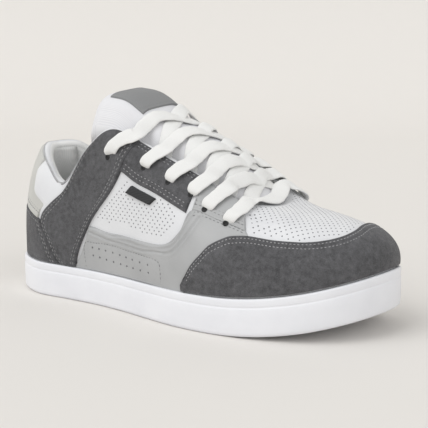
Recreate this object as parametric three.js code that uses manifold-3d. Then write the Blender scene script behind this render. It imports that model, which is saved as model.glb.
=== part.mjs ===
// A low skateboarding shoe for the right foot: cupsole, hollow upper, overlays, padded tongue and flat laces.
// Millimetres, +X to the toe, +Y to the inner side of the foot, +Z up.
import * as THREE from 'three';
import { mergeVertices } from 'three/addons/utils/BufferGeometryUtils.js';
import Module from 'manifold-3d';

const wasm = await Module();
wasm.setup();

// Driving sizes
const LENGTH = 300;            // outsole, heel to toe
const WIDTH = 115;             // outsole at the ball
const INSTEP_HEIGHT = 126;     // floor to the upper edge at the top eyelet
const SOLE_HEIGHT = 24;        // sidewall at the waist
const SOLE_END_RISE = 2.4;     // extra sidewall height at the toe
const TOE_SPRING = 16;
const HEEL_LIFT = 1;
const CUP_FLOOR_HEEL = 12;
const CUP_FLOOR_BALL = 8;
const CUP_WALL = 3;
const GROOVE_DEPTH = 0.7;      // the line around the sidewall
const TREAD_DEPTH = 2;
const TREAD_PITCH = 13;
const UPPER_THICKNESS = 2.4;
const COLLAR_PAD = 6;          // added to the thickness at the collar
const OVERLAY_THICKNESS = 1.2;
const INSOLE_THICKNESS = 4;
const LABEL_THICKNESS = 1;
const LACE_WIDTH = 8.4;
const LACE_THICKNESS = 1.2;
const GAP = 0.5;               // between seated pieces
const RIB_PITCH = 11;            // widest step between ribs
const OVERLAY_PITCH = 9.5;       // widest step in an overlay

// Plan and top edge of the upper, a row per rib, from the heel by the outer side, the toe and the inner side.
// plan x, plan y | top x, top y, top z | rise, flare above the foot | reach, swell, drop below the top
// x: shares of LENGTH, y, flare and swell: of WIDTH, z, rise and drop: of INSTEP_HEIGHT, reach: of foot to top
const RIBS = [
  [0.000, 0.000, 0.057, 0.000, 0.873, 0.190, 0.000, 1.00, 0.000, -0.198],
  [0.023, -0.209, 0.082, -0.148, 0.869, 0.190, 0.000, 1.00, 0.009, -0.198],
  [0.117, -0.365, 0.133, -0.270, 0.778, 0.183, 0.017, 1.00, 0.017, -0.167],
  [0.213, -0.374, 0.200, -0.330, 0.683, 0.167, 0.035, 0.60, 0.026, -0.159],
  [0.300, -0.383, 0.273, -0.322, 0.889, 0.214, 0.035, 0.50, 0.026, -0.222],
  [0.393, -0.417, 0.340, -0.287, 1.000, 0.238, 0.043, 0.65, 0.017, -0.135],
  [0.483, -0.470, 0.420, -0.270, 0.937, 0.230, 0.043, 0.62, 0.009, -0.103],
  [0.583, -0.522, 0.513, -0.261, 0.849, 0.214, 0.039, 0.62, 0.000, -0.103],
  [0.683, -0.530, 0.620, -0.243, 0.734, 0.198, 0.039, 0.62, 0.000, -0.103],
  [0.800, -0.487, 0.693, -0.191, 0.643, 0.194, 0.037, 0.61, 0.000, -0.056],
  [0.907, -0.374, 0.711, -0.118, 0.630, 0.194, 0.037, 0.65, 0.000, -0.044],
  [0.977, -0.174, 0.718, -0.040, 0.620, 0.194, 0.037, 0.69, 0.000, -0.036],
  [1.000, 0.070, 0.718, 0.048, 0.616, 0.190, 0.037, 0.70, 0.000, -0.032],
  [0.970, 0.296, 0.709, 0.130, 0.622, 0.179, 0.037, 0.64, 0.000, -0.044],
  [0.887, 0.435, 0.693, 0.206, 0.645, 0.155, 0.033, 0.57, 0.000, -0.071],
  [0.787, 0.478, 0.663, 0.252, 0.698, 0.151, 0.033, 0.56, 0.000, -0.095],
  [0.683, 0.461, 0.603, 0.274, 0.778, 0.190, 0.035, 0.58, 0.000, -0.111],
  [0.567, 0.409, 0.510, 0.280, 0.877, 0.238, 0.043, 0.60, 0.026, -0.119],
  [0.450, 0.348, 0.422, 0.283, 0.956, 0.238, 0.061, 0.50, 0.061, -0.159],
  [0.350, 0.322, 0.340, 0.296, 1.000, 0.238, 0.070, 0.50, 0.061, -0.175],
  [0.267, 0.322, 0.273, 0.322, 0.889, 0.222, 0.061, 0.50, 0.035, -0.222],
  [0.183, 0.330, 0.200, 0.335, 0.683, 0.175, 0.052, 0.60, 0.030, -0.167],
  [0.110, 0.313, 0.127, 0.270, 0.778, 0.183, 0.043, 0.80, 0.035, -0.167],
  [0.027, 0.200, 0.082, 0.157, 0.869, 0.190, 0.000, 1.00, 0.009, -0.198],
];
const RIB_SCALE = [LENGTH, WIDTH, LENGTH, WIDTH, INSTEP_HEIGHT, INSTEP_HEIGHT, WIDTH, 1, WIDTH, INSTEP_HEIGHT];

// Tongue, a row per station from the end under the vamp to the free end.
// x: share of LENGTH | crest height: of INSTEP_HEIGHT | half width: of WIDTH | edge drop, thickness: of INSTEP_HEIGHT
// | squareness of the arch | edge drop of the inner side, which stands higher: of INSTEP_HEIGHT
const TONGUE = [
  [0.797, 0.500, 0.130, 0.024, 0.024, 2.4, 0.024],
  [0.750, 0.532, 0.172, 0.040, 0.032, 2.4, 0.036],
  [0.693, 0.648, 0.224, 0.100, 0.048, 2.6, 0.080],
  [0.620, 0.815, 0.268, 0.190, 0.080, 3.2, 0.180],
  [0.567, 0.895, 0.268, 0.215, 0.100, 3.4, 0.205],
  [0.513, 0.960, 0.262, 0.210, 0.120, 3.8, 0.180],
  [0.447, 1.020, 0.250, 0.185, 0.140, 4.2, 0.110],
  [0.393, 1.095, 0.255, 0.165, 0.165, 4.6, 0.070],
  [0.345, 1.160, 0.262, 0.159, 0.180, 4.6, 0.070],
  [0.290, 1.182, 0.262, 0.159, 0.190, 4.6, 0.080],
];
const TONGUE_SCALE = [LENGTH, INSTEP_HEIGHT, WIDTH, INSTEP_HEIGHT, INSTEP_HEIGHT, 1, INSTEP_HEIGHT];
const TONGUE_END = 0.036 * LENGTH;     // length of the rounded free end
const TONGUE_TILT = 0.08;              // rise to the inner side

// Eyelets from the top down: place round the perimeter, place up the rib and how far the lace moves to the toe
// on its way to the throat, then how far the inner side's eyelet lies nearer the toe and higher up
const EYELETS = [
  [0.199, 0.78, 0.033, 0.000, 0.00],
  [0.246, 0.77, 0.023, 0.004, 0.00],
  [0.278, 0.76, 0.019, 0.009, 0.01],
  [0.303, 0.76, 0.015, 0.014, 0.03],
  [0.319, 0.71, 0.021, 0.017, 0.05],
  [0.344, 0.67, 0.029, 0.022, 0.05],
];

// Panel edges: place round the perimeter, place up the rib
const FOOT = 0.015;
const STRAP_REAR = [
  [0.1155, 0.015], [0.108, 0.10], [0.100, 0.27], [0.090, 0.44], [0.101, 0.64],
  [0.117, 0.82], [0.136, 0.905], [0.150, 0.94], [0.163, 0.96], [0.182, 0.965],
];
const STRAP_FRONT = [
  [0.137, 0.015], [0.1385, 0.10], [0.146, 0.24], [0.160, 0.39], [0.172, 0.46],
  [0.193, 0.535], [0.2065, 0.62], [0.217, 0.73], [0.2275, 0.84], [0.2385, 0.965],
];
const MID_LOW = [[0.2105, 0.645], [0.228, 0.615], [0.260, 0.60], [0.2925, 0.575]];
const MID_HIGH = [[0.2408, 0.965], [0.262, 0.95], [0.286, 0.95], [0.3105, 0.965]];
const LOWER_LOW = [[0.3035, 0.645], [0.3115, 0.66], [0.324, 0.66], [0.347, 0.65], [0.3625, 0.62]];
const INNER_REACH = 1.14;              // the inner side's lower eyestay goes on nearer the toe
const LOWER_HIGH = [[0.3130, 0.965], [0.321, 0.96], [0.334, 0.955], [0.350, 0.955], [0.3645, 0.965]];
const QUARTER_LOW = [
  [0.1395, 0.015], [0.190, 0.015], [0.240, 0.015], [0.286, 0.015],
  [0.3005, 0.250], [0.3185, 0.435], [0.341, 0.558], [0.3615, 0.582],
];
const QUARTER_HIGH = [
  [0.1625, 0.37], [0.190, 0.29], [0.235, 0.28], [0.269, 0.31],
  [0.289, 0.43], [0.3035, 0.625], [0.335, 0.635], [0.3620, 0.602],
];
const TOE_TOP = [
  [0.2885, 0.05], [0.294, 0.12], [0.303, 0.23], [0.314, 0.33], [0.322, 0.41], [0.332, 0.47], [0.344, 0.525],
  [0.362, 0.55], [0.378, 0.54], [0.392, 0.516], [0.406, 0.492], [0.425, 0.458], [0.446, 0.444], [0.464, 0.452],
  [0.482, 0.48], [0.501, 0.52], [0.511, 0.525],
];
const COUNTER_SIDE = [[0.1115, 0.015], [0.1085, 0.05], [0.0985, 0.25], [0.0860, 0.43]];
const COUNTER_CREST = 0.045;           // how far the counter's top edge rises behind the heel
const HEEL_PANEL_SIDE = [[0.0845, 0.46], [0.0945, 0.62], [0.076, 0.70], [0.068, 0.80], [0.072, 0.96]];
const TAG_CORNERS = [[0.216, 0.527], [0.249, 0.512], [0.2255, 0.586], [0.2585, 0.570]];

// Helpers for tables
const lerp = THREE.MathUtils.lerp;
const smooth = THREE.MathUtils.smoothstep;

function tangentSpline(rows, knots, closed, at) {
  const count = rows.length;
  const period = closed ? knots[count] : 0;
  let place = at;
  if (closed) place = ((at % period) + period) % period;
  const last = closed ? count - 1 : count - 2;
  let i = 0;
  while (i < last && place >= knots[i + 1]) i += 1;
  const step = (k) => {
    if (closed) return knots[((k % count) + count) % count + 1] - knots[((k % count) + count) % count];
    const j = Math.min(Math.max(k, 0), count - 2);
    return knots[j + 1] - knots[j];
  };
  const row = (k) => (closed ? rows[((k % count) + count) % count] : rows[Math.min(Math.max(k, 0), count - 1)]);
  const [before, here, after] = [step(i - 1), step(i), step(i + 1)];
  const f = (place - knots[i]) / here;
  return row(i).map((value, c) => {
    const [a, d, e] = [row(i - 1)[c], row(i + 1)[c], row(i + 2)[c]];
    const atEnd = !closed && i === 0;
    const atTail = !closed && i === last;
    const left = atEnd ? (d - value) / here
      : ((value - a) / before) * (here / (before + here)) + ((d - value) / here) * (before / (before + here));
    const right = atTail ? (d - value) / here
      : ((d - value) / here) * (after / (here + after)) + ((e - d) / after) * (here / (here + after));
    const h = f * f * f;
    const q = f * f;
    return (2 * h - 3 * q + 1) * value + (h - 2 * q + f) * left * here
      + (-2 * h + 3 * q) * d + (h - q) * right * here;
  });
}

function scaled(rows, scale) {
  return rows.map((row) => row.map((value, c) => value * scale[c]));
}

function alongTable(rows, share) {
  const place = share * (rows.length - 1);
  const i = Math.min(Math.floor(place), rows.length - 2);
  return rows[i].map((value, c) => lerp(value, rows[i + 1][c], place - i));
}

// Heights along the shoe
const springAt = (x) => {
  const toe = Math.max((x - LENGTH * 2 / 3) / (LENGTH / 3), 0);
  const heel = Math.min(Math.max(1 - x / (0.117 * LENGTH), 0), 1);
  return TOE_SPRING * toe * toe + HEEL_LIFT * heel * heel;
};
const sidewallAt = (x) => SOLE_HEIGHT + SOLE_END_RISE * ((x / LENGTH - 0.4) / 0.6) ** 2;
const cupFloorAt = (x) => lerp(CUP_FLOOR_HEEL, CUP_FLOOR_BALL, smooth(x / LENGTH, 0.25, 0.6));

// The plan, and the ribs that stand on it
const ribRows = scaled(RIBS, RIB_SCALE);
const ribKnots = [0];
ribRows.forEach((row, i) => {
  const next = ribRows[(i + 1) % ribRows.length];
  ribKnots.push(ribKnots[i] + Math.hypot(next[0] - row[0], next[1] - row[1]));
});
const perimeter = ribKnots[ribRows.length];
const ribAt = (u) => tangentSpline(ribRows, ribKnots, true, u * perimeter);

function across(u) {
  const place = u * perimeter;
  let i = 0;
  while (i < ribRows.length - 1 && place >= ribKnots[i + 1]) i += 1;
  const f = (place - ribKnots[i]) / (ribKnots[i + 1] - ribKnots[i]);
  const j = ribRows.length - i;
  return lerp(ribKnots[j], ribKnots[j - 1], f) / perimeter;
}

function outwardAt(u) {
  const step = 0.0007;
  const a = ribAt(u - step);
  const b = ribAt(u + step);
  return new THREE.Vector3(b[1] - a[1], a[0] - b[0], 0).normalize();
}

const UPPER_INSET = CUP_WALL + GAP;
function footAt(u, inset, height) {
  const row = ribAt(u);
  const out = outwardAt(u);
  return new THREE.Vector3(row[0] - out.x * inset, row[1] - out.y * inset, height(row[0]) + springAt(row[0]));
}

function skin(u, s) {
  const [, , topX, topY, topZ, rise, flare, reach, swell, drop] = ribAt(u);
  const out = outwardAt(u);
  const foot = footAt(u, UPPER_INSET, sidewallAt);
  const top = new THREE.Vector3(topX, topY, topZ);
  const low = foot.clone().addScaledVector(out, flare);
  low.z += rise;
  const high = new THREE.Vector3(lerp(topX, foot.x, reach), lerp(topY, foot.y, reach), topZ + drop);
  high.addScaledVector(out, swell);
  const r = 1 - s;
  return foot.multiplyScalar(r * r * r).addScaledVector(low, 3 * r * r * s)
    .addScaledVector(high, 3 * r * s * s).addScaledVector(top, s * s * s);
}

function skinNormal(u, s) {
  const du = 0.0015;
  const ds = 0.01;
  const low = Math.max(s - ds, 0);
  const high = Math.min(s + ds, 1);
  const along = skin(u + du, s).sub(skin(u - du, s));
  const up = skin(u, high).sub(skin(u, low));
  return along.cross(up).normalize();
}

const raised = (u, s, height) => skin(u, s).addScaledVector(skinNormal(u, s), height);

// Closed bodies from grids of points
function body(points, faces) {
  const geometry = new THREE.BufferGeometry();
  geometry.setAttribute('position', new THREE.Float32BufferAttribute(points.flatMap((p) => [p.x, p.y, p.z]), 3));
  geometry.setIndex(faces.flat());
  return geometry;
}

function loopFaces(faces, from, to, count) {
  for (let i = 0; i < count; i += 1) {
    const j = (i + 1) % count;
    faces.push([from + i, from + j, to + j], [from + i, to + j, to + i]);
  }
}

function ringSolid(loops) {
  const count = loops[0].length;
  const faces = [];
  loops.forEach((loop, k) => loopFaces(faces, k * count, ((k + 1) % loops.length) * count, count));
  return body(loops.flat(), faces);
}

// Loops around the plan with a plate across the first and the last; point i faces point count - i
function platedSolid(loops) {
  const count = loops[0].length;
  const faces = [];
  for (let k = 0; k < loops.length - 1; k += 1) loopFaces(faces, k * count, (k + 1) * count, count);
  const plate = (base, turned) => {
    for (let i = 0; i < count / 2; i += 1) {
      const ring = [i, i + 1, count - i - 1, (count - i) % count].map((v) => base + v);
      const [a, b, c, d] = turned ? ring : [ring[3], ring[2], ring[1], ring[0]];
      if (b !== c) faces.push([a, b, c]);
      if (a !== d && c !== d) faces.push([a, c, d]);
    }
  };
  plate(0, false);
  plate((loops.length - 1) * count, true);
  return body(loops.flat(), faces.filter(([a, b, c]) => a !== b && b !== c && a !== c));
}

// A sheet with an upper and a lower face from two grids of the same size
function sheetSolid(lower, upper) {
  const rows = lower.length;
  const columns = lower[0].length;
  const faces = [];
  const low = (i, j) => i * columns + j;
  const high = (i, j) => rows * columns + low(i, j);
  for (let i = 0; i < rows - 1; i += 1) {
    for (let j = 0; j < columns - 1; j += 1) {
      faces.push([high(i, j), high(i + 1, j), high(i + 1, j + 1)], [high(i, j), high(i + 1, j + 1), high(i, j + 1)]);
      faces.push([low(i, j), low(i + 1, j + 1), low(i + 1, j)], [low(i, j), low(i, j + 1), low(i + 1, j + 1)]);
    }
  }
  const edge = [];
  for (let i = 0; i < rows - 1; i += 1) edge.push([i, 0]);
  for (let j = 0; j < columns - 1; j += 1) edge.push([rows - 1, j]);
  for (let i = rows - 1; i > 0; i -= 1) edge.push([i, columns - 1]);
  for (let j = columns - 1; j > 0; j -= 1) edge.push([0, j]);
  edge.forEach(([i, j], k) => {
    const [m, n] = edge[(k + 1) % edge.length];
    faces.push([low(i, j), low(m, n), high(m, n)], [low(i, j), high(m, n), high(i, j)]);
  });
  return body([...lower.flat(), ...upper.flat()], faces);
}

function loftSolid(sections) {
  const count = sections[0].length;
  const faces = [];
  for (let k = 0; k < sections.length - 1; k += 1) loopFaces(faces, k * count, (k + 1) * count, count);
  const cap = (base, turned) => {
    for (let i = 0; i < count / 2 - 1; i += 1) {
      const ring = [i, i + 1, count - i - 2, count - i - 1].map((v) => base + v);
      const [a, b, c, d] = turned ? ring : [ring[3], ring[2], ring[1], ring[0]];
      faces.push([a, b, c], [a, c, d]);
    }
  };
  cap(0, false);
  cap((sections.length - 1) * count, true);
  return body(sections.flat(), faces.filter(([a, b, c]) => a !== b && b !== c && a !== c));
}

function outwardFacing(geometry) {
  const flat = mergeVertices(geometry, 1e-4);
  const spot = flat.getAttribute('position');
  const index = flat.getIndex();
  let volume = 0;
  const [a, b, c] = [new THREE.Vector3(), new THREE.Vector3(), new THREE.Vector3()];
  for (let i = 0; i < index.count; i += 3) {
    a.fromBufferAttribute(spot, index.getX(i));
    b.fromBufferAttribute(spot, index.getX(i + 1));
    c.fromBufferAttribute(spot, index.getX(i + 2));
    volume += a.dot(b.cross(c)) / 6;
  }
  if (volume < 0) {
    for (let i = 0; i < index.count; i += 3) {
      const first = index.getX(i);
      index.setX(i, index.getX(i + 2));
      index.setX(i + 2, first);
    }
  }
  return flat;
}

const toManifold = (geometry) => {
  const flat = outwardFacing(geometry);
  return new wasm.Manifold(new wasm.Mesh({
    numProp: 3,
    vertProperties: new Float32Array(flat.getAttribute('position').array),
    triVerts: new Uint32Array(flat.getIndex().array),
  }));
};

const fromManifold = (solid) => {
  const mesh = solid.getMesh();
  const geometry = new THREE.BufferGeometry();
  geometry.setAttribute('position', new THREE.Float32BufferAttribute(mesh.vertProperties, 3));
  geometry.setIndex([...mesh.triVerts]);
  return geometry;
};

// The plan by stations along the shoe, with each outer point facing an inner one
const STATIONS = 29;
function planStations() {
  const fine = [];
  const steps = 1600;
  for (let i = 0; i <= steps; i += 1) fine.push([i / steps, ribAt(i / steps)[0]]);
  const heel = fine.reduce((best, p) => (p[1] < best[1] || (p[1] === best[1] && p[0] < best[0]) ? p : best));
  const toe = fine.reduce((best, p) => (p[1] > best[1] ? p : best));
  const start = heel[0] > 0.5 ? heel[0] - 1 : heel[0];
  const side = (from, to) => {
    const list = [];
    for (let i = 1; i < STATIONS; i += 1) {
      const share = (1 - Math.cos((Math.PI * i) / STATIONS)) / 2;
      const x = lerp(heel[1], toe[1], share);
      let [a, b] = [from, to];
      for (let k = 0; k < 40; k += 1) {
        const middle = (a + b) / 2;
        if (ribAt(middle)[0] < x) a = middle;
        else b = middle;
      }
      list.push((a + b) / 2);
    }
    return list;
  };
  return [start, ...side(start, toe[0]), toe[0], ...side(start + 1, toe[0]).reverse()];
}
const stations = planStations();
const planLoop = (inset, height) => stations.map((u) => footAt(u, inset, height));

// Cupsole
function treadCutters() {
  const cutters = [];
  const half = stations.length / 2;
  const span = (x) => {
    let i = 1;
    while (i < half - 1 && ribAt(stations[i])[0] < x) i += 1;
    return [ribAt(stations[i])[1], ribAt(stations[2 * half - i])[1]];
  };
  const cut = (x, length, from, to) => {
    const box = new THREE.BoxGeometry(length, to - from, 10);
    box.deleteAttribute('normal');
    box.deleteAttribute('uv');
    box.translate(x, (from + to) / 2, springAt(x) + TREAD_DEPTH - 5);
    cutters.push(toManifold(mergeVertices(box, 1e-3)));
  };
  const margin = 0.085 * WIDTH;
  const row = (start, end) => {
    const count = Math.max(Math.round(((end - start) * LENGTH) / TREAD_PITCH), 1);
    for (let i = 0; i <= count; i += 1) {
      const x = LENGTH * lerp(start, end, i / count);
      const [outer, inner] = span(x);
      cut(x, 0.2 * TREAD_PITCH, outer + margin, inner - margin);
    }
  };
  row(0.07, 0.27);
  row(0.5, 0.93);
  const [outer, inner] = span(0.385 * LENGTH);
  cut(0.385 * LENGTH, 0.13 * LENGTH, outer + 1.6 * margin, inner - 1.6 * margin);
  return cutters;
}

function cupsole() {
  const at = (share, extra = 0) => (x) => sidewallAt(x) * share + extra;
  const loops = [
    planLoop(2.4, () => 0),
    planLoop(0.7, at(0, 0.9)),
    planLoop(0, at(0, 3)),
    planLoop(0, at(0.72)),
    planLoop(GROOVE_DEPTH, at(0.72, 0.5)),
    planLoop(GROOVE_DEPTH, at(0.72, 1.5)),
    planLoop(0, at(0.72, 2)),
    planLoop(0, at(1, -1)),
    planLoop(0.9, at(1)),
    planLoop(CUP_WALL, at(1)),
    planLoop(CUP_WALL, cupFloorAt),
  ];
  let solid = toManifold(platedSolid(loops));
  treadCutters().forEach((cutter) => { solid = solid.subtract(cutter); });
  return fromManifold(solid);
}

function insole() {
  const edge = UPPER_INSET + UPPER_THICKNESS + 1.2 * GAP;
  const above = (height) => (x) => cupFloorAt(x) + GAP + height;
  return platedSolid([
    planLoop(edge, above(0)),
    planLoop(edge, above(INSOLE_THICKNESS + 1)),
    planLoop(edge + 2, above(INSOLE_THICKNESS + 1.2)),
    planLoop(edge + 9, above(INSOLE_THICKNESS)),
  ]);
}

// Upper
const COLLAR_FRONT = 0.19;
function ribStations() {
  const list = [];
  for (let i = 0; i < ribRows.length; i += 1) {
    const from = ribKnots[i] / perimeter;
    const to = ribKnots[i + 1] / perimeter;
    const turn = outwardAt(from).angleTo(outwardAt(to));
    const count = Math.ceil(Math.max(turn / 0.17, (ribKnots[i + 1] - ribKnots[i]) / RIB_PITCH));
    for (let k = 0; k < count; k += 1) list.push(lerp(from, to, k / count));
  }
  return list;
}

function thicknessAt(u, s) {
  const side = Math.min(u, 1 - u);
  const pad = (1 - smooth(side, 0.13, COLLAR_FRONT)) * smooth(s, 0.4, 0.8);
  return UPPER_THICKNESS + COLLAR_PAD * pad;
}

function upper() {
  const ribs = ribStations();
  const outerSteps = 12;
  const innerSteps = 6;
  const loops = [ribs.map((u) => footAt(u, UPPER_INSET, (x) => cupFloorAt(x) + GAP))];
  for (let k = 0; k < outerSteps; k += 1) loops.push(ribs.map((u) => skin(u, k / outerSteps)));
  const edge = ribs.map((u) => {
    const thickness = thicknessAt(u, 1);
    const normal = skinNormal(u, 1);
    const up = skin(u, 1).sub(skin(u, 0.98)).normalize();
    const centre = skin(u, 1).addScaledVector(normal, -thickness / 2).addScaledVector(up, -0.35 * thickness);
    return { centre, normal, up, thickness };
  });
  [0, 0.33, 0.67, 1].forEach((share) => {
    const turn = Math.PI * share;
    loops.push(edge.map(({ centre, normal, up, thickness }) => centre.clone()
      .addScaledVector(normal, (Math.cos(turn) * thickness) / 2)
      .addScaledVector(up, Math.sin(turn) * 0.35 * thickness)));
  });
  for (let k = innerSteps - 1; k >= 0; k -= 1) {
    const s = k / innerSteps;
    loops.push(ribs.map((u) => raised(u, s, -thicknessAt(u, s))));
  }
  loops.push(ribs.map((u) => footAt(u, UPPER_INSET + UPPER_THICKNESS, (x) => cupFloorAt(x) + GAP)));
  return ringSolid(loops);
}

// Overlays: a ruled field of places on the upper, raised to two heights
function fieldSize(place, alongA) {
  let longest = 0;
  [0, 0.5, 1].forEach((other) => {
    let length = 0;
    for (let i = 0; i < 8; i += 1) {
      const [a, b] = [i / 8, (i + 1) / 8].map((v) => (alongA ? place(v, other) : place(other, v)));
      length += skin(...a).distanceTo(skin(...b));
    }
    longest = Math.max(longest, length);
  });
  return longest;
}

function overlay(place, pitch = OVERLAY_PITCH, low = 1.2 * GAP, thickness = OVERLAY_THICKNESS) {
  const [long, wide] = [fieldSize(place, true), fieldSize(place, false)];
  const [rows, columns] = [Math.ceil(long / pitch) + 1, Math.ceil(wide / pitch) + 1];
  const grid = (height) => Array.from({ length: rows }, (_, i) => Array.from({ length: columns }, (__, j) => {
    const [u, s] = place(i / (rows - 1), j / (columns - 1));
    return raised(u, s, height);
  }));
  return sheetSolid(grid(low), grid(low + thickness));
}

const ruled = (from, to) => (a, b) => {
  const [p, q] = [alongTable(from, a), alongTable(to, a)];
  return [lerp(p[0], q[0], b), lerp(p[1], q[1], b)];
};
const innerSide = (place) => (a, b) => {
  const [u, s] = place(a, b);
  return [across(u), s];
};
const signed = (u) => (u < 0 ? across(-u) : u);

function toeField(a, b) {
  const share = 2 * a;
  const toe = TOE_TOP[TOE_TOP.length - 1][0];
  const outer = share <= 1 ? share : 2 - share;
  const u = lerp(TOE_TOP[0][0], toe, outer);
  let i = 0;
  while (i < TOE_TOP.length - 2 && u > TOE_TOP[i + 1][0]) i += 1;
  const top = lerp(TOE_TOP[i][1], TOE_TOP[i + 1][1], (u - TOE_TOP[i][0]) / (TOE_TOP[i + 1][0] - TOE_TOP[i][0]));
  return [share <= 1 ? u : across(u), lerp(FOOT, top, b)];
}

function counterField(a, b) {
  const [u, s] = alongTable(COUNTER_SIDE, b);
  const turn = 2 * a - 1;
  return [signed(u * turn), s + COUNTER_CREST * b * (1 - turn * turn)];
}

function heelPanelField(a, b) {
  const [u, s] = alongTable(HEEL_PANEL_SIDE, b);
  const turn = 2 * a - 1;
  return [signed(u * turn), s + COUNTER_CREST * (1 - b) * (1 - turn * turn)];
}

// Tongue
const tongueRows = scaled(TONGUE, TONGUE_SCALE);
const tongueKnots = tongueRows.map((row) => tongueRows[0][0] - row[0]);
const tongueAt = (x) => tangentSpline(tongueRows, tongueKnots, false, tongueRows[0][0] - x);
const tongueRear = tongueRows[tongueRows.length - 1][0];

function tongueTop(x, y) {
  const [, crest, half, outerDrop, , square, innerDrop] = tongueAt(Math.max(x, tongueRear));
  const drop = y > 0 ? innerDrop : outerDrop;
  const past = Math.min(Math.max((tongueRear - x) / TONGUE_END, 0), 1);
  const round = 1 - Math.sqrt(1 - past * past);
  const [, , , , thickness] = tongueAt(tongueRear);
  return crest + TONGUE_TILT * y - drop * Math.min(Math.abs(y) / half, 1) ** square - round * 0.5 * thickness;
}

function tongue() {
  const front = tongueRows[0][0];
  const places = [];
  for (let i = 0; i <= 14; i += 1) places.push(lerp(front, tongueRear, i / 14));
  [0.35, 0.65, 0.87, 0.985].forEach((share) => places.push(tongueRear - share * TONGUE_END));
  const sections = places.map((x) => {
    const [, crest, half, outerDrop, thickness, square, innerDrop] = tongueAt(Math.max(x, tongueRear));
    const past = Math.max((tongueRear - x) / TONGUE_END, 0);
    const left = Math.sqrt(1 - past * past);
    const wide = half * (0.8 + 0.2 * left);
    const point = (share, under) => {
      const y = wide * share;
      const fall = (share > 0 ? innerDrop : outerDrop) * Math.abs(share) ** square + (1 - left) * 0.5 * thickness;
      const body = thickness * left * (1 - 0.72 * share ** 4);
      return new THREE.Vector3(x, y, crest + TONGUE_TILT * y - fall - (under ? body : 0));
    };
    const shares = Array.from({ length: 11 }, (_, k) => Math.sin((Math.PI * (k - 5)) / 10));
    return [...shares.map((share) => point(share, false)), ...shares.reverse().map((share) => point(share, true))];
  });
  return loftSolid(sections);
}

function tongueLabel() {
  const [rows, columns] = [6, 11];
  const [front, rear] = [0.381 * LENGTH, 0.292 * LENGTH];
  const grid = (height) => Array.from({ length: rows }, (_, i) => Array.from({ length: columns }, (__, j) => {
    const x = lerp(front, rear, i / (rows - 1));
    const y = lerp(-0.156, 0.216, j / (columns - 1)) * WIDTH;
    const step = 0.5;
    const tangentX = new THREE.Vector3(2 * step, 0, tongueTop(x + step, y) - tongueTop(x - step, y));
    const tangentY = new THREE.Vector3(0, 2 * step, tongueTop(x, y + step) - tongueTop(x, y - step));
    const normal = tangentX.cross(tangentY).normalize();
    return new THREE.Vector3(x, y, tongueTop(x, y)).addScaledVector(normal, height);
  }));
  return sheetSolid(grid(1.2 * GAP), grid(1.2 * GAP + LABEL_THICKNESS));
}

// Laces: each band enters an eyelet from above, crosses the tongue and ends low at the far edge of the throat.
// The band of the last row is a bar from eyelet to eyelet.
const LACE_CLEAR = 1.1;
const LACE_STEP = LACE_THICKNESS + 2.8 * GAP;

function fingerRows(row, outer) {
  const [ownU, ownS, lean, forward, rise] = EYELETS[row];
  const overEyestay = 1.2 * GAP + OVERLAY_THICKNESS + 2.4 * GAP;
  return [0, 0.5, 1].map((share) => {
    const u = ownU + lean * share;
    const s = lerp(outer ? ownS : ownS + rise, 0.97, share);
    const place = outer ? u : across(u) - forward;
    const pace = skin(place + 0.002, s).distanceTo(skin(place - 0.002, s)) / 0.004;
    const half = (outer ? 0.5 : -0.5) * (LACE_WIDTH / pace);
    return {
      low: [-1, 1].map((k) => raised(place + k * half, s, overEyestay)),
      high: [-1, 1].map((k) => raised(place + k * half, s, overEyestay + LACE_THICKNESS)),
    };
  });
}

function bridgeRow(x, y, height, ground = tongueTop) {
  const half = 0.44 * LACE_WIDTH;
  const point = (k, extra) => new THREE.Vector3(x + k * half, y, ground(x + k * half, y) + height + extra);
  return {
    low: [-1, 1].map((k) => point(k, 0)),
    high: [-1, 1].map((k) => point(k, LACE_THICKNESS * 1.15)),
  };
}

const throatEdge = (row, outer) => {
  const [ownU, , lean, forward] = EYELETS[row];
  return skin(outer ? ownU + lean : across(ownU + lean) - forward, 1);
};

function laceBand(row, outer) {
  const own = throatEdge(row, outer);
  const far = throatEdge(row + 1, !outer);
  const stop = (Math.abs(far.y) - 3.4) / Math.abs(far.y);
  const bridge = [0.74, 0.5, 0.25, 0, -0.25, -0.5, -0.68, -0.8, -stop].map((share) => {
    const y = (share >= 0 ? own.y : -far.y) * share;
    const height = LACE_CLEAR + LACE_STEP * smooth(share, 0.05, 0.35);
    return bridgeRow(lerp(far.x, own.x, (share + 1) / 2), y, height);
  });
  const rows = [...fingerRows(row, outer), ...bridge];
  return sheetSolid(rows.map((r) => r.low), rows.map((r) => r.high));
}

function laceCrossing(row) {
  return fromManifold(toManifold(laceBand(row, true)).add(toManifold(laceBand(row, false))));
}

// The bar bows to the toe over the front of the throat.
const BAR_BOW = 0.027 * LENGTH;

function laceBar() {
  const row = EYELETS.length - 1;
  const [own, far] = [throatEdge(row, true), throatEdge(row, false)];
  const crest = skin(0.5, 1).z;
  const bridge = [0.74, 0.5, 0.25, 0, -0.25, -0.5, -0.74].map((share) => {
    const edge = share >= 0 ? own : far;
    const level = lerp(crest, edge.z, share ** 2);
    const x = lerp(far.x, own.x, (share + 1) / 2) + BAR_BOW * (1 - share ** 2);
    const height = lerp(1.5 * LACE_CLEAR, LACE_CLEAR + 1.7 * LACE_STEP, smooth(Math.abs(share), 0.2, 0.5));
    return bridgeRow(x, Math.abs(share) * edge.y, height, (px, py) => Math.max(tongueTop(px, py), level));
  });
  const rows = [...fingerRows(row, true), ...bridge, ...fingerRows(row, false).reverse()];
  return sheetSolid(rows.map((r) => r.low), rows.map((r) => r.high));
}

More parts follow.
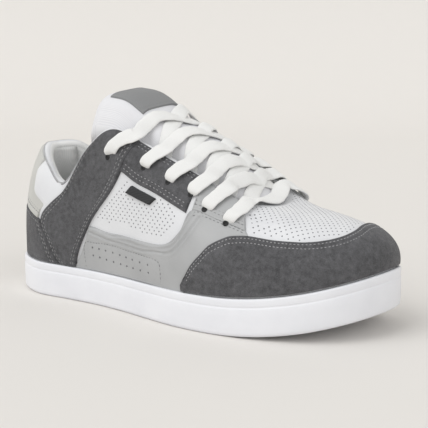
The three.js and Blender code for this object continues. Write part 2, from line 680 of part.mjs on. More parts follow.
// Colours
const WHITE_RUBBER = { color: 0xe4e5ea, roughness: 0.6 };
const WHITE_LEATHER = { color: 0xe4e4e6, roughness: 0.6 };
const GREY_LEATHER = { color: 0xb2b3b4, roughness: 0.6 };
const DARK_SUEDE = { color: 0x4a4a4c, roughness: 0.95 };
const WHITE_MESH = { color: 0xe8e8e6, roughness: 0.85 };
const GREY_LABEL = { color: 0x8c8d8e, roughness: 0.7 };
const BLACK_LABEL = { color: 0x2c2d2f, roughness: 0.7 };
const WHITE_LACE = { color: 0xececea, roughness: 0.9 };

const pieces = [
  ['cupsole', cupsole(), WHITE_RUBBER],
  ['insole', insole(), GREY_LABEL],
  ['upper', upper(), WHITE_LEATHER],
  ['tongue', tongue(), WHITE_MESH],
  ['tongue_label', tongueLabel(), GREY_LABEL],
  ['toe_overlay', overlay(toeField, 0.9 * OVERLAY_PITCH, 1.4 * GAP), DARK_SUEDE],
  ['heel_counter', overlay(counterField, 0.85 * OVERLAY_PITCH), DARK_SUEDE],
  ['heel_panel', overlay(heelPanelField, 0.85 * OVERLAY_PITCH), GREY_LEATHER],
  ['side_tag', overlay((a, b) => {
    const [p, q] = [alongTable(TAG_CORNERS.slice(0, 2), a), alongTable(TAG_CORNERS.slice(2), a)];
    return [lerp(p[0], q[0], b), lerp(p[1], q[1], b)];
  }, OVERLAY_PITCH, GAP, LABEL_THICKNESS), BLACK_LABEL],
];
[
  ['saddle_strap', ruled(STRAP_REAR, STRAP_FRONT), DARK_SUEDE],
  ['mid_eyestay', ruled(MID_LOW, MID_HIGH), DARK_SUEDE],
  ['lower_eyestay', ruled(LOWER_LOW, LOWER_HIGH), GREY_LEATHER],
  ['quarter', ruled(QUARTER_LOW, QUARTER_HIGH), GREY_LEATHER],
].forEach(([name, place, look]) => {
  const innerPlace = innerSide(name === 'lower_eyestay' ? (a, b) => place(a * INNER_REACH, b) : place);
  pieces.push([`${name}_outer`, overlay(place), look], [`${name}_inner`, overlay(innerPlace), look]);
});
for (let row = 0; row < EYELETS.length - 1; row += 1) {
  pieces.push([`lace_crossing_${row + 1}`, laceCrossing(row), WHITE_LACE]);
}
pieces.push(['lace_bar', laceBar(), WHITE_LACE]);

const group = new THREE.Group();
const whole = new THREE.Box3();
const ready = pieces.map(([name, geometry, look]) => {
  const solid = outwardFacing(geometry);
  solid.computeBoundingBox();
  whole.union(solid.boundingBox);
  return [name, solid, look];
});
const centre = whole.getCenter(new THREE.Vector3());
ready.forEach(([name, solid, look]) => {
  solid.translate(-centre.x, -centre.y, -whole.min.z);
  solid.computeVertexNormals();
  const mesh = new THREE.Mesh(solid, new THREE.MeshStandardMaterial(look));
  mesh.name = name;
  group.add(mesh);
});

export default group;
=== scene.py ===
# Low skateboarding shoe for the right foot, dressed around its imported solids.

import math

import bmesh
import bpy
import numpy as np
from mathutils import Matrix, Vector


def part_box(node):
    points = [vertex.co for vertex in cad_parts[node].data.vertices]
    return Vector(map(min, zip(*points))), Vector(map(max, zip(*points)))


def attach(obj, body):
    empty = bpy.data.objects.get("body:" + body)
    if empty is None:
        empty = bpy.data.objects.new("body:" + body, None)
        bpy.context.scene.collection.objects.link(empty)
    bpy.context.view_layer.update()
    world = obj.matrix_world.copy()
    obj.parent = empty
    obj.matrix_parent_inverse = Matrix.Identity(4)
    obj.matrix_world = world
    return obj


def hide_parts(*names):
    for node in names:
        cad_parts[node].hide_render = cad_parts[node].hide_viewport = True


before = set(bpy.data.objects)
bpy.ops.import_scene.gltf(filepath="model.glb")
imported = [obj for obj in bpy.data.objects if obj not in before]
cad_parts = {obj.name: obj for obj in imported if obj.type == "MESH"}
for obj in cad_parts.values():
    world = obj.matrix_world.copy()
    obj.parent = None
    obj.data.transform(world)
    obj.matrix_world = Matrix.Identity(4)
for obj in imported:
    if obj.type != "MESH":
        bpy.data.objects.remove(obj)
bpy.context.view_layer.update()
print("frame loaded,", len(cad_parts), "solids")

# Main sizes, in millimetres: +X to the toe, +Y to the inner side of the foot
shoe = {
    "length": 300.0,
    "width": 115.0,
    "instep": 126.0,
    "soleHeight": 24.0,
    "soleEndRise": 2.4,
    "toeSpring": 16.0,
    "heelLift": 1.0,
    "cupFloorHeel": 12.0,
    "cupFloorBall": 8.0,
    "cupWall": 3.0,
    "upperThickness": 2.4,
    "collarPad": 6.0,
    "seat": 0.5,
    "springFrom": 2 / 3,  # shares of the length
    "heelLiftTo": 0.117,
    "sidewallLow": 0.4,
    "cupSlope": (0.25, 0.6),
}
shoe["inset"] = shoe["cupWall"] + shoe["seat"]

# A row per rib of the upper, from the heel by the outer side, the toe and the inner side
# plan x, plan y | top x, y, z | rise, flare above the foot | reach, swell, drop below the top
ribs = np.array([
    (0.000, 0.000, 0.057, 0.000, 0.873, 0.190, 0.000, 1.00, 0.000, -0.198),
    (0.023, -0.209, 0.082, -0.148, 0.869, 0.190, 0.000, 1.00, 0.009, -0.198),
    (0.117, -0.365, 0.133, -0.270, 0.778, 0.183, 0.017, 1.00, 0.017, -0.167),
    (0.213, -0.374, 0.200, -0.330, 0.683, 0.167, 0.035, 0.60, 0.026, -0.159),
    (0.300, -0.383, 0.273, -0.322, 0.889, 0.214, 0.035, 0.50, 0.026, -0.222),
    (0.393, -0.417, 0.340, -0.287, 1.000, 0.238, 0.043, 0.65, 0.017, -0.135),
    (0.483, -0.470, 0.420, -0.270, 0.937, 0.230, 0.043, 0.62, 0.009, -0.103),
    (0.583, -0.522, 0.513, -0.261, 0.849, 0.214, 0.039, 0.62, 0.000, -0.103),
    (0.683, -0.530, 0.620, -0.243, 0.734, 0.198, 0.039, 0.62, 0.000, -0.103),
    (0.800, -0.487, 0.693, -0.191, 0.643, 0.194, 0.037, 0.61, 0.000, -0.056),
    (0.907, -0.374, 0.711, -0.118, 0.630, 0.194, 0.037, 0.65, 0.000, -0.044),
    (0.977, -0.174, 0.718, -0.040, 0.620, 0.194, 0.037, 0.69, 0.000, -0.036),
    (1.000, 0.070, 0.718, 0.048, 0.616, 0.190, 0.037, 0.70, 0.000, -0.032),
    (0.970, 0.296, 0.709, 0.130, 0.622, 0.179, 0.037, 0.64, 0.000, -0.044),
    (0.887, 0.435, 0.693, 0.206, 0.645, 0.155, 0.033, 0.57, 0.000, -0.071),
    (0.787, 0.478, 0.663, 0.252, 0.698, 0.151, 0.033, 0.56, 0.000, -0.095),
    (0.683, 0.461, 0.603, 0.274, 0.778, 0.190, 0.035, 0.58, 0.000, -0.111),
    (0.567, 0.409, 0.510, 0.280, 0.877, 0.238, 0.043, 0.60, 0.026, -0.119),
    (0.450, 0.348, 0.422, 0.283, 0.956, 0.238, 0.061, 0.50, 0.061, -0.159),
    (0.350, 0.322, 0.340, 0.296, 1.000, 0.238, 0.070, 0.50, 0.061, -0.175),
    (0.267, 0.322, 0.273, 0.322, 0.889, 0.222, 0.061, 0.50, 0.035, -0.222),
    (0.183, 0.330, 0.200, 0.335, 0.683, 0.175, 0.052, 0.60, 0.030, -0.167),
    (0.110, 0.313, 0.127, 0.270, 0.778, 0.183, 0.043, 0.80, 0.035, -0.167),
    (0.027, 0.200, 0.082, 0.157, 0.869, 0.190, 0.000, 1.00, 0.009, -0.198),
])
ribScale = np.array([shoe[key] if key else 1.0 for key in (
    "length", "width", "length", "width", "instep", "instep", "width", "", "width", "instep")])
ribRows = ribs * ribScale
ribCount = len(ribRows)
ribSteps = np.linalg.norm(np.roll(ribRows, -1, 0)[:, :2] - ribRows[:, :2], axis=1)
ribKnots = np.concatenate([[0], np.cumsum(ribSteps)])
perimeter = ribKnots[-1]


def slopes(a, b, d, e, before, here, after):
    left = (b - a) / before * here / (before + here) + (d - b) / here * before / (before + here)
    right = (d - b) / here * after / (here + after) + (e - d) / after * here / (here + after)
    return left, right


def hermite(b, d, left, right, here, f):
    q = f * f
    h = q * f
    ends = (2 * h - 3 * q + 1) * b + (3 * q - 2 * h) * d
    return ends + (h - 2 * q + f) * left * here + (h - q) * right * here


def ribBefore(u):  # how far round the plan, and the rib just before
    place = np.mod(u, 1.0) * perimeter
    return place, np.clip(np.searchsorted(ribKnots, place, side="right") - 1, 0, ribCount - 1)


def ribAt(u):
    place, i = ribBefore(u)
    here = ribSteps[i][..., None]
    before = ribSteps[(i - 1) % ribCount][..., None]
    after = ribSteps[(i + 1) % ribCount][..., None]
    a, b, d, e = (ribRows[(i + k) % ribCount] for k in (-1, 0, 1, 2))
    left, right = slopes(a, b, d, e, before, here, after)
    return hermite(b, d, left, right, here, (place - ribKnots[i])[..., None] / here)


def across(u):  # the place on the other side of the shoe
    place, i = ribBefore(u)
    f = (place - ribKnots[i]) / ribSteps[i]
    j = ribCount - i
    return (ribKnots[j] * (1 - f) + ribKnots[j - 1] * f) / perimeter


def clamp01(value):
    return np.clip(value, 0.0, 1.0)


def ease(value, low, high):
    t = clamp01((value - low) / (high - low))
    return t * t * (3 - 2 * t)


def unit(vectors):
    return vectors / np.maximum(np.linalg.norm(vectors, axis=-1, keepdims=True), 1e-9)


def springAt(x):
    toe = np.maximum((x / shoe["length"] - shoe["springFrom"]) / (1 - shoe["springFrom"]), 0)
    heel = clamp01(1 - x / (shoe["heelLiftTo"] * shoe["length"]))
    return shoe["toeSpring"] * toe ** 2 + shoe["heelLift"] * heel ** 2


def sidewallAt(x):
    low = shoe["sidewallLow"]
    return shoe["soleHeight"] + shoe["soleEndRise"] * ((x / shoe["length"] - low) / (1 - low)) ** 2


def cupFloorAt(x):
    t = ease(x / shoe["length"], *shoe["cupSlope"])
    return shoe["cupFloorHeel"] * (1 - t) + shoe["cupFloorBall"] * t


def seatAt(x):  # where upper and footbed stand in the cup
    return cupFloorAt(x) + shoe["seat"]


def outwardAt(u):
    step = 0.0007
    a, b = ribAt(u - step), ribAt(u + step)
    return unit(np.stack([b[..., 1] - a[..., 1], a[..., 0] - b[..., 0], np.zeros(np.shape(u))], -1))


def footAt(u, inset, height):  # a line round the plan, at a height above the sprung ground
    row = ribAt(u)
    out = outwardAt(u)
    x = row[..., 0]
    z = height(x) + springAt(x)
    inset = np.asarray(inset)
    return np.stack([x - out[..., 0] * inset, row[..., 1] - out[..., 1] * inset, z], -1)


def skin(u, s):  # the upper's surface: u goes round the plan from the heel, s from the cup to the top line
    u, s = np.broadcast_arrays(np.asarray(u, float), np.asarray(s, float))
    row = ribAt(u)
    out = outwardAt(u)
    foot = footAt(u, shoe["inset"], sidewallAt)
    top = row[..., 2:5]
    low = foot + out * row[..., 6:7]
    low[..., 2] += row[..., 5]
    reach = row[..., 7:8]
    high = np.concatenate([top[..., :2] * (1 - reach) + foot[..., :2] * reach,
                           top[..., 2:3] + row[..., 9:10]], -1) + out * row[..., 8:9]
    t = s[..., None]
    r = 1 - t
    return r ** 3 * foot + 3 * r * r * t * low + 3 * r * t * t * high + t ** 3 * top


def skinNormal(u, s):
    u, s = np.broadcast_arrays(np.asarray(u, float), np.asarray(s, float))
    along = skin(u + 0.0015, s) - skin(u - 0.0015, s)
    up = skin(u, np.minimum(s + 0.01, 1)) - skin(u, np.maximum(s - 0.01, 0))
    return unit(np.cross(along, up))


def raised(u, s, height):  # at a height above the upper's surface
    return skin(u, s) + skinNormal(u, s) * np.asarray(height)[..., None]


# Source millimetres to frame metres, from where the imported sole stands
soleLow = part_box("cupsole")[0]
planFine = ribAt(np.linspace(0, 1, 4001))
frameShift = np.array([soleLow.x * 1000 - planFine[:, 0].min(), soleLow.y * 1000 - planFine[:, 1].min(), 0.0])


def toFrame(points):
    return (np.asarray(points, float).reshape(-1, 3) + frameShift) / 1000


# Meshes

def gridFaces(rows, columns, closedRows=False, closedColumns=False, base=0):
    i = np.arange(rows if closedRows else rows - 1)
    j = np.arange(columns if closedColumns else columns - 1)
    i, j = np.meshgrid(i, j, indexing="ij")
    k, m = (i + 1) % rows, (j + 1) % columns
    corners = [i * columns + j, k * columns + j, k * columns + m, i * columns + m]
    return base + np.stack([c.ravel() for c in corners], -1)


def sheetMesh(upperFace, lowerFace):  # points and faces of a thin slab between two grids of points
    rows, columns = upperFace.shape[:2]
    shift = rows * columns
    ring = [(i, 0) for i in range(rows - 1)] + [(rows - 1, j) for j in range(columns - 1)]
    ring += [(i, columns - 1) for i in range(rows - 1, 0, -1)] + [(0, j) for j in range(columns - 1, 0, -1)]
    rim = np.array([i * columns + j for i, j in ring])
    following = np.roll(rim, -1)
    faces = [gridFaces(rows, columns), gridFaces(rows, columns, base=shift),
             np.stack([rim, following, following + shift, rim + shift], -1)]
    return np.concatenate([upperFace.reshape(-1, 3), lowerFace.reshape(-1, 3)]), np.concatenate(faces)


def loopMesh(loops, sheets):  # points and faces of a wall through closed loops, shut by a sheet at each end
    points = [np.concatenate(loops)]
    faces = [gridFaces(len(loops), len(loops[0]), closedColumns=True)]
    for sheet in sheets:
        faces.append(gridFaces(*sheet.shape[:2], base=sum(len(p) for p in points)))
        points.append(sheet.reshape(-1, 3))
    return np.concatenate(points), np.concatenate(faces)


def spanned(loop, count):  # the outer and inner half of a plan loop, and a sheet between them
    half = len(loop) // 2
    weight = np.linspace(0, 1, count)[None, :, None]
    outer = loop[:half + 1]
    inner = np.concatenate([loop[:1], loop[:half - 1:-1]])
    return outer, inner, outer[:, None] * (1 - weight) + inner[:, None] * weight


def discFaces(count, base):  # top, bottom and rim of a disc
    top = [base + k for k in range(count)]
    bottom = [base + 2 * count - 1 - k for k in range(count)]
    rim = [[base + k, base + (k + 1) % count, base + count + (k + 1) % count, base + count + k]
           for k in range(count)]
    return [top, bottom] + rim


def flatAxes(normal):  # two directions along the surface
    first = unit(np.cross(normal, np.array([0.0, 0.3, 1.0])))
    return first, np.cross(normal, first)


def makePiece(name, points, faces, materials, slotName, stands=(), faceMaterial=None, uv=None):
    mesh = bpy.data.meshes.new(name)
    mesh.from_pydata(toFrame(points).tolist(), [], [list(map(int, f)) for f in faces])
    for material in materials:
        mesh.materials.append(material)
    if faceMaterial is not None:
        mesh.polygons.foreach_set("material_index", np.asarray(faceMaterial, np.int32))
    if uv is not None:
        layer = mesh.uv_layers.new(name="UVMap")
        corner = np.zeros(len(mesh.loops), np.int32)
        mesh.loops.foreach_get("vertex_index", corner)
        layer.data.foreach_set("uv", np.asarray(uv, np.float32).reshape(-1, 2)[corner].ravel())
    work = bmesh.new()
    work.from_mesh(mesh)
    bmesh.ops.remove_doubles(work, verts=work.verts, dist=1e-6)
    bmesh.ops.recalc_face_normals(work, faces=work.faces)
    work.to_mesh(mesh)
    work.free()
    mesh.polygons.foreach_set("use_smooth", np.ones(len(mesh.polygons), bool))
    mesh.update()
    piece = bpy.data.objects.new(name, mesh)
    bpy.context.scene.collection.objects.link(piece)
    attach(piece, "root")
    if stands:
        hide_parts(*stands)
    return piece


def nearest(points, line):  # distance in millimetres from each point to a row of points
    flat = points.reshape(-1, 3)
    best = np.full(len(flat), 1e9)
    for start in range(0, len(line), 40):
        gap = flat[:, None, :] - line[None, start:start + 40, :]
        best = np.minimum(best, np.sqrt((gap ** 2).sum(-1)).min(1))
    return best.reshape(points.shape[:-1])


def insidePatch(u, s, corners):  # even-odd rule in (u, s)
    inside = np.zeros(np.shape(u), bool)
    for (u0, s0), (u1, s1) in zip(corners, corners[1:] + corners[:1]):
        crosses = (s0 > s) != (s1 > s)
        span = s1 - s0 if s1 != s0 else 1e-9
        inside ^= crosses & (u < (u1 - u0) * (s - s0) / span + u0)
    return inside


def smoothRow(rows, share):  # a smooth curve through a table of (u, s) rows, extended straight past its ends
    rows = np.asarray(rows, float)
    last = len(rows) - 1
    place = np.asarray(share, float) * last
    i = np.clip(np.floor(place).astype(int), 0, last - 1)
    f = (place - i)[..., None]
    b, d = rows[i], rows[i + 1]
    a = np.where((i > 0)[..., None], rows[np.maximum(i - 1, 0)], 2 * b - d)
    e = np.where((i < last - 1)[..., None], rows[np.minimum(i + 2, last)], 2 * d - b)
    g = np.clip(f, 0, 1)
    curve = hermite(b, d, (d - a) / 2, (e - b) / 2, 1.0, g)
    return curve + (f - g) * (d - b)


def openCurve(rows, knots, place):  # a smooth curve through the rows, straight into its two ends
    last = len(rows) - 2
    i = np.clip(np.searchsorted(knots, place, side="right") - 1, 0, last)
    steps = np.diff(knots)
    here = steps[i][..., None]
    before = steps[np.maximum(i - 1, 0)][..., None]
    after = steps[np.minimum(i + 1, last)][..., None]
    b, d = rows[i], rows[i + 1]
    a, e = rows[np.maximum(i - 1, 0)], rows[np.minimum(i + 2, last + 1)]
    left, right = slopes(a, b, d, e, before, here, after)
    left = np.where((i == 0)[..., None], (d - b) / here, left)
    right = np.where((i == last)[..., None], (d - b) / here, right)
    return hermite(b, d, left, right, here, (place - knots[i])[..., None] / here)


def denseLine(rows, count=200):
    return smoothRow(rows, np.linspace(0, 1, count))


# Materials

def linear(red, green, blue):
    values = [c / 255 for c in (red, green, blue)]
    return tuple(c / 12.92 if c <= 0.04045 else ((c + 0.055) / 1.055) ** 2.4 for c in values) + (1.0,)


def addNode(tree, kind, x, y, **settings):
    node = tree.nodes.new(kind)
    node.location = (x, y)
    for key, value in settings.items():
        setattr(node, key, value)
    return node


def mathNode(tree, operation, x, y, *values):  # a value is a number, or an output to link
    node = addNode(tree, "ShaderNodeMath", x, y, operation=operation)
    for socket, value in zip(node.inputs, values):
        if isinstance(value, bpy.types.NodeSocket):
            tree.links.new(value, socket)
        else:
            socket.default_value = value
    return node.outputs[0]


def noiseNode(tree, place, y, **settings):
    node = addNode(tree, "ShaderNodeTexNoise", -200, y)
    for key, value in settings.items():
        node.inputs[key].default_value = value
    tree.links.new(place, node.inputs["Vector"])
    return node.outputs[0]


def effectGroup(name, inputs):  # Height for the bump, Tone for the colour
    group = bpy.data.node_groups.new(name, "ShaderNodeTree")
    for key, kind, value in inputs:
        socket = group.interface.new_socket(name=key, in_out="INPUT", socket_type=kind)
        if value is not None:
            socket.default_value = value
    for key in ("Height", "Tone"):
        group.interface.new_socket(name=key, in_out="OUTPUT", socket_type="NodeSocketFloat")
    entry = addNode(group, "NodeGroupInput", -1100, 0)
    end = addNode(group, "NodeGroupOutput", 700, 0)
    return group, entry, end


def scaledPlace(tree, entry):
    place = addNode(tree, "ShaderNodeTexCoord", -700, 0)
    combine = addNode(tree, "ShaderNodeCombineXYZ", -700, -250)
    multiply = addNode(tree, "ShaderNodeVectorMath", -520, 0, operation="MULTIPLY")
    for key in ("X", "Y", "Z"):
        tree.links.new(entry.outputs["Scale"], combine.inputs[key])
    tree.links.new(place.outputs["Object"], multiply.inputs[0])
    tree.links.new(combine.outputs[0], multiply.inputs[1])
    return multiply.outputs[0]


def grainGroup():  # pebbled leather
    group, entry, end = effectGroup("leatherGrain", [("Scale", "NodeSocketFloat", 700.0)])
    place = scaledPlace(group, entry)
    cells = addNode(group, "ShaderNodeTexVoronoi", -200, 100, feature="SMOOTH_F1")
    cells.inputs["Scale"].default_value = 1.0
    cells.inputs["Smoothness"].default_value = 0.4
    group.links.new(place, cells.inputs["Vector"])
    fine = noiseNode(group, place, -150, Scale=2.4, Detail=3.0)
    broad = noiseNode(group, place, -400, Scale=0.035, Detail=4.0)
    height = mathNode(group, "MULTIPLY_ADD", 100, 0, fine, 0.35, cells.outputs["Distance"])
    group.links.new(height, end.inputs["Height"])
    group.links.new(broad, end.inputs["Tone"])
    return group


def napGroup():  # brushed suede: short fibres, and broad lighter and darker strokes
    group, entry, end = effectGroup("suedeNap", [("Scale", "NodeSocketFloat", 1500.0)])
    place = scaledPlace(group, entry)
    fibres = noiseNode(group, place, 150, Scale=1.0, Detail=4.0, Roughness=0.7)
    strokes = noiseNode(group, place, -100, Scale=0.16, Detail=6.0, Roughness=0.65, Distortion=0.15)
    patches = noiseNode(group, place, -350, Scale=0.02, Detail=2.0)
    fine = mathNode(group, "MULTIPLY_ADD", 100, 0, fibres, 0.8, strokes)
    tone = mathNode(group, "MULTIPLY_ADD", 300, -150, patches, 0.4, fine)
    group.links.new(fibres, end.inputs["Height"])
    group.links.new(mathNode(group, "MULTIPLY", 500, -150, tone, 0.46), end.inputs["Tone"])
    return group


def weaveGroup():  # over and under threads, on the UV map in millimetres or on the object's own place
    group, entry, end = effectGroup("threadWeave", [("Vector", "NodeSocketVector", None),
                                                    ("Pitch", "NodeSocketFloat", 1.0)])
    split = addNode(group, "ShaderNodeSeparateXYZ", -900, 0)
    group.links.new(entry.outputs["Vector"], split.inputs[0])
    waves = []
    for row, lean in enumerate((1, -1)):
        y = -200 * row
        turn = mathNode(group, "MULTIPLY_ADD", -700, y, split.outputs["Y"], lean, split.outputs["X"])
        pace = mathNode(group, "DIVIDE", -500, y, turn, entry.outputs["Pitch"])
        full = mathNode(group, "MULTIPLY", -300, y, pace, math.tau)
        waves.append(mathNode(group, "SINE", -100, y, full))
    both = mathNode(group, "MULTIPLY", 150, 0, *waves)
    half = mathNode(group, "MULTIPLY_ADD", 350, 0, both, 0.5, 0.5)
    for key in ("Height", "Tone"):
        group.links.new(half, end.inputs[key])
    return group


leatherGrain = grainGroup()
suedeNap = napGroup()
threadWeave = weaveGroup()


def surface(name, dark, light, roughness, effect, scale, bump, depth=0.0004, weaveFrom=None,
            spread=(0.3, 0.8), **extra):  # colours as 0 to 255, depth in metres
    material = bpy.data.materials.new(name)
    material.use_nodes = True
    tree = material.node_tree
    shader = tree.nodes["Principled BSDF"]
    shader.inputs["Roughness"].default_value = roughness
    for key, value in extra.items():
        shader.inputs[key].default_value = value
    texture = addNode(tree, "ShaderNodeGroup", -700, 0, node_tree=effect)
    if weaveFrom:
        place = addNode(tree, "ShaderNodeTexCoord", -900, 0)
        tree.links.new(place.outputs[weaveFrom], texture.inputs["Vector"])
        texture.inputs["Pitch"].default_value = scale
    else:
        texture.inputs["Scale"].default_value = scale
    ramp = addNode(tree, "ShaderNodeValToRGB", -450, 150)
    for stop, colour, position in zip(ramp.color_ramp.elements, (dark, light), spread):
        stop.color = linear(*colour)
        stop.position = position
    tree.links.new(texture.outputs["Tone"], ramp.inputs[0])
    tree.links.new(ramp.outputs[0], shader.inputs["Base Color"])
    relief = addNode(tree, "ShaderNodeBump", -300, -200)
    relief.inputs["Strength"].default_value = bump
    relief.inputs["Distance"].default_value = depth
    tree.links.new(texture.outputs["Height"], relief.inputs["Height"])
    tree.links.new(relief.outputs[0], shader.inputs["Normal"])
    return material


whiteRubber = surface("whiteRubber", (233, 234, 239), (242, 243, 247), 0.42,
                      leatherGrain, 900.0, 0.08, 0.0002)
whiteLeather = surface("whiteLeather", (220, 221, 224), (232, 233, 235), 0.5,
                       leatherGrain, 1000.0, 0.25, 0.0002)
greyLeather = surface("greyLeather", (168, 169, 170), (182, 183, 184), 0.5,
                      leatherGrain, 1000.0, 0.3, 0.0002)
heelLeather = surface("heelLeather", (190, 190, 186), (204, 204, 200), 0.55,
                      leatherGrain, 1000.0, 0.3, 0.0002)
darkSuede = surface("darkSuede", (62, 62, 64), (108, 108, 111), 0.95,
                    suedeNap, 1700.0, 0.9, 0.0006, spread=(0.38, 0.66),
                    **{"Sheen Weight": 0.12, "Sheen Roughness": 0.5})
tongueMesh = surface("tongueMesh", (222, 222, 226), (236, 236, 238), 0.85,
                     threadWeave, 0.0012, 0.3, 0.0002, weaveFrom="Object")
collarMesh = surface("collarMesh", (238, 239, 238), (250, 250, 249), 0.9,
                     threadWeave, 0.0014, 0.35, 0.0002, weaveFrom="Object")
laceCotton = surface("laceCotton", (236, 236, 234), (248, 248, 247), 0.9,
                     threadWeave, 1.3, 0.6, 0.0003, weaveFrom="UV")
greyLabel = surface("greyLabel", (132, 133, 134), (146, 147, 148), 0.75,
                    threadWeave, 0.0008, 0.3, 0.0002, weaveFrom="Object")
darkLabel = surface("darkLabel", (40, 41, 43), (54, 55, 57), 0.75,
                    threadWeave, 0.0008, 0.3, 0.0002, weaveFrom="Object")
footbedCloth = surface("footbedCloth", (190, 191, 191), (208, 209, 209), 0.95,
                       threadWeave, 0.0014, 0.4, 0.0003, weaveFrom="Object")
darkThread = surface("darkThread", (136, 136, 137), (162, 162, 163), 0.8, leatherGrain, 3000.0, 0.2)
paleThread = surface("paleThread", (158, 158, 160), (182, 182, 184), 0.8, leatherGrain, 3000.0, 0.2)
greyThread = surface("greyThread", (128, 129, 130), (146, 147, 148), 0.8, leatherGrain, 3000.0, 0.2)
# painted shade: this dark grey stands in for the shaded hollow inside each punched hole
paintedHoleShade = surface("paintedHoleShade", (118, 119, 122), (140, 141, 144), 0.9, leatherGrain, 2000.0, 0.2)
# painted shade: this grey stands in for the shaded hollow inside each pinhole on the quarter
paintedPinholeShade = surface("paintedPinholeShade", (112, 113, 115), (132, 133, 135), 0.9, leatherGrain, 2000.0, 0.2)
# the eyelets' own black, also used as painted shade on the discs that close their holes
eyeletBlackAndHoleShade = surface("eyeletBlackAndHoleShade", (14, 14, 15), (30, 30, 32), 0.5, leatherGrain, 1500.0, 0.2)
print("materials made")


# Sole
sole = {
    "stations": 230,
    "acrossCount": 56,
    "profile": [  # inset from the plan, share of the sidewall height, extra height
        (2.4, 0, 0.0), (1.5, 0, 0.3), (0.7, 0, 0.9), (0.2, 0, 1.9), (0.0, 0, 3.0), (-0.15, 0.3, 0),
        (-0.2, 0.5, 0), (-0.15, 0.76, -0.9), (0.0, 0.76, -0.3), (0.22, 0.76, 0.0), (0.32, 0.76, 0.4),
        (0.26, 0.76, 0.8), (0.1, 0.76, 1.2), (0.05, 0.76, 1.8), (0.0, 1, -1.6), (0.15, 1, -0.7),
        (0.5, 1, -0.2), (1.1, 1, 0.0),
        (2.5, 1, 0.0), (3.0, 1, -0.4),
    ],
    "treadDepth": 2.0,
    "treadPitch": 13.0,
    "treadFlank": (0.78, 2.08),  # half width of a groove at its floor and at the ground
    "margin": 9.8,  # plain rubber round the tread
    "treadEdge": (0.9, 1.05),  # shares of the margin
    "waistEdge": (1.5, 1.7),
    "cupBend": 0.6,
    "heelRows": (0.07, 0.27),  # shares of the length
    "foreRows": (0.50, 0.93),
    "waist": (0.320, 0.450),
}


def planStations(count):
    u = np.linspace(-0.1, 1.1, 6001)
    x = ribAt(u)[:, 0]
    body = (u > -0.05) & (u < 0.95)
    heel = u[body][np.argmin(x[body])]
    toe = u[body][np.argmax(x[body])]
    share = (1 - np.cos(np.pi * np.arange(1, count) / count)) / 2
    xs = x[body].min() + (x[body].max() - x[body].min()) * share
    outer = (u >= heel) & (u <= toe)
    inner = (u >= toe) & (u <= heel + 1)
    outerU = np.interp(xs, np.maximum.accumulate(x[outer]), u[outer])
    innerU = np.interp(xs, np.maximum.accumulate(x[inner][::-1]), u[inner][::-1])
    return np.concatenate([[heel], outerU, [toe], innerU[::-1]])


def treadCut(x, y, outer, inner):  # 1 where a groove or the hollow of the waist is cut
    cut = np.zeros(x.shape)
    for start, end in (sole["heelRows"], sole["foreRows"]):
        rows = round((end - start) * shoe["length"] / sole["treadPitch"])
        for k in range(rows + 1):
            centre = shoe["length"] * (start + (end - start) * k / rows)
            cut = np.maximum(cut, 1 - ease(np.abs(x - centre), *sole["treadFlank"]))
    edge = np.minimum(y - outer, inner - y) / sole["margin"]
    rear, front = (v * shoe["length"] for v in sole["waist"])
    hollow = ease(x, rear - 0.5, rear + 1) * (1 - ease(x, front - 1, front + 0.5))
    return np.maximum(cut * ease(edge, *sole["treadEdge"]), hollow * ease(edge, *sole["waistEdge"]))


def makeSole():
    u = planStations(sole["stations"])
    loops = []
    for inset, share, extra in sole["profile"]:
        loops.append(footAt(u, inset, lambda x: sidewallAt(x) * share + extra))
    loops.append(footAt(u, shoe["cupWall"], lambda x: sidewallAt(x) * sole["cupBend"]))
    loops.append(footAt(u, shoe["cupWall"], cupFloorAt))
    outer, inner, under = spanned(loops[0], sole["acrossCount"])
    cut = treadCut(under[..., 0], under[..., 1], outer[:, None, 1], inner[:, None, 1])
    under[..., 2] += sole["treadDepth"] * cut
    inside = spanned(loops[-1], sole["acrossCount"])[2]
    makePiece("soleUnit", *loopMesh(loops, [under, inside]), [whiteRubber], "white_rubber", ["cupsole"])


makeSole()
print("sole made")


# Footbed
footbed = {
    "stations": 120,
    "acrossCount": 30,
    "clear": 0.6,
    "profile": [(0.0, 0.0), (0.0, 4.6), (0.7, 5.2)],  # inset, height above the seat
    "dish": 1.6,
    "dishReach": 14.0,
}


def makeFootbed():
    u = planStations(footbed["stations"])
    edge = shoe["inset"] + shoe["upperThickness"] + footbed["clear"]
    loops = []
    for inset, rise in footbed["profile"]:
        loops.append(footAt(u, edge + inset, lambda x: seatAt(x) + rise))
    under = spanned(loops[0], footbed["acrossCount"])[2]
    outer, inner, top = spanned(loops[-1], footbed["acrossCount"])
    middle = 0.5 - np.abs(np.linspace(0, 1, footbed["acrossCount"]) - 0.5)
    top[..., 2] -= footbed["dish"] * ease(np.abs(inner - outer)[:, None, 1] * middle, 0, footbed["dishReach"])
    makePiece("footbed", *loopMesh(loops, [under, top]), [footbedCloth], "grey_label", ["insole"])


makeFootbed()
print("footbed made")


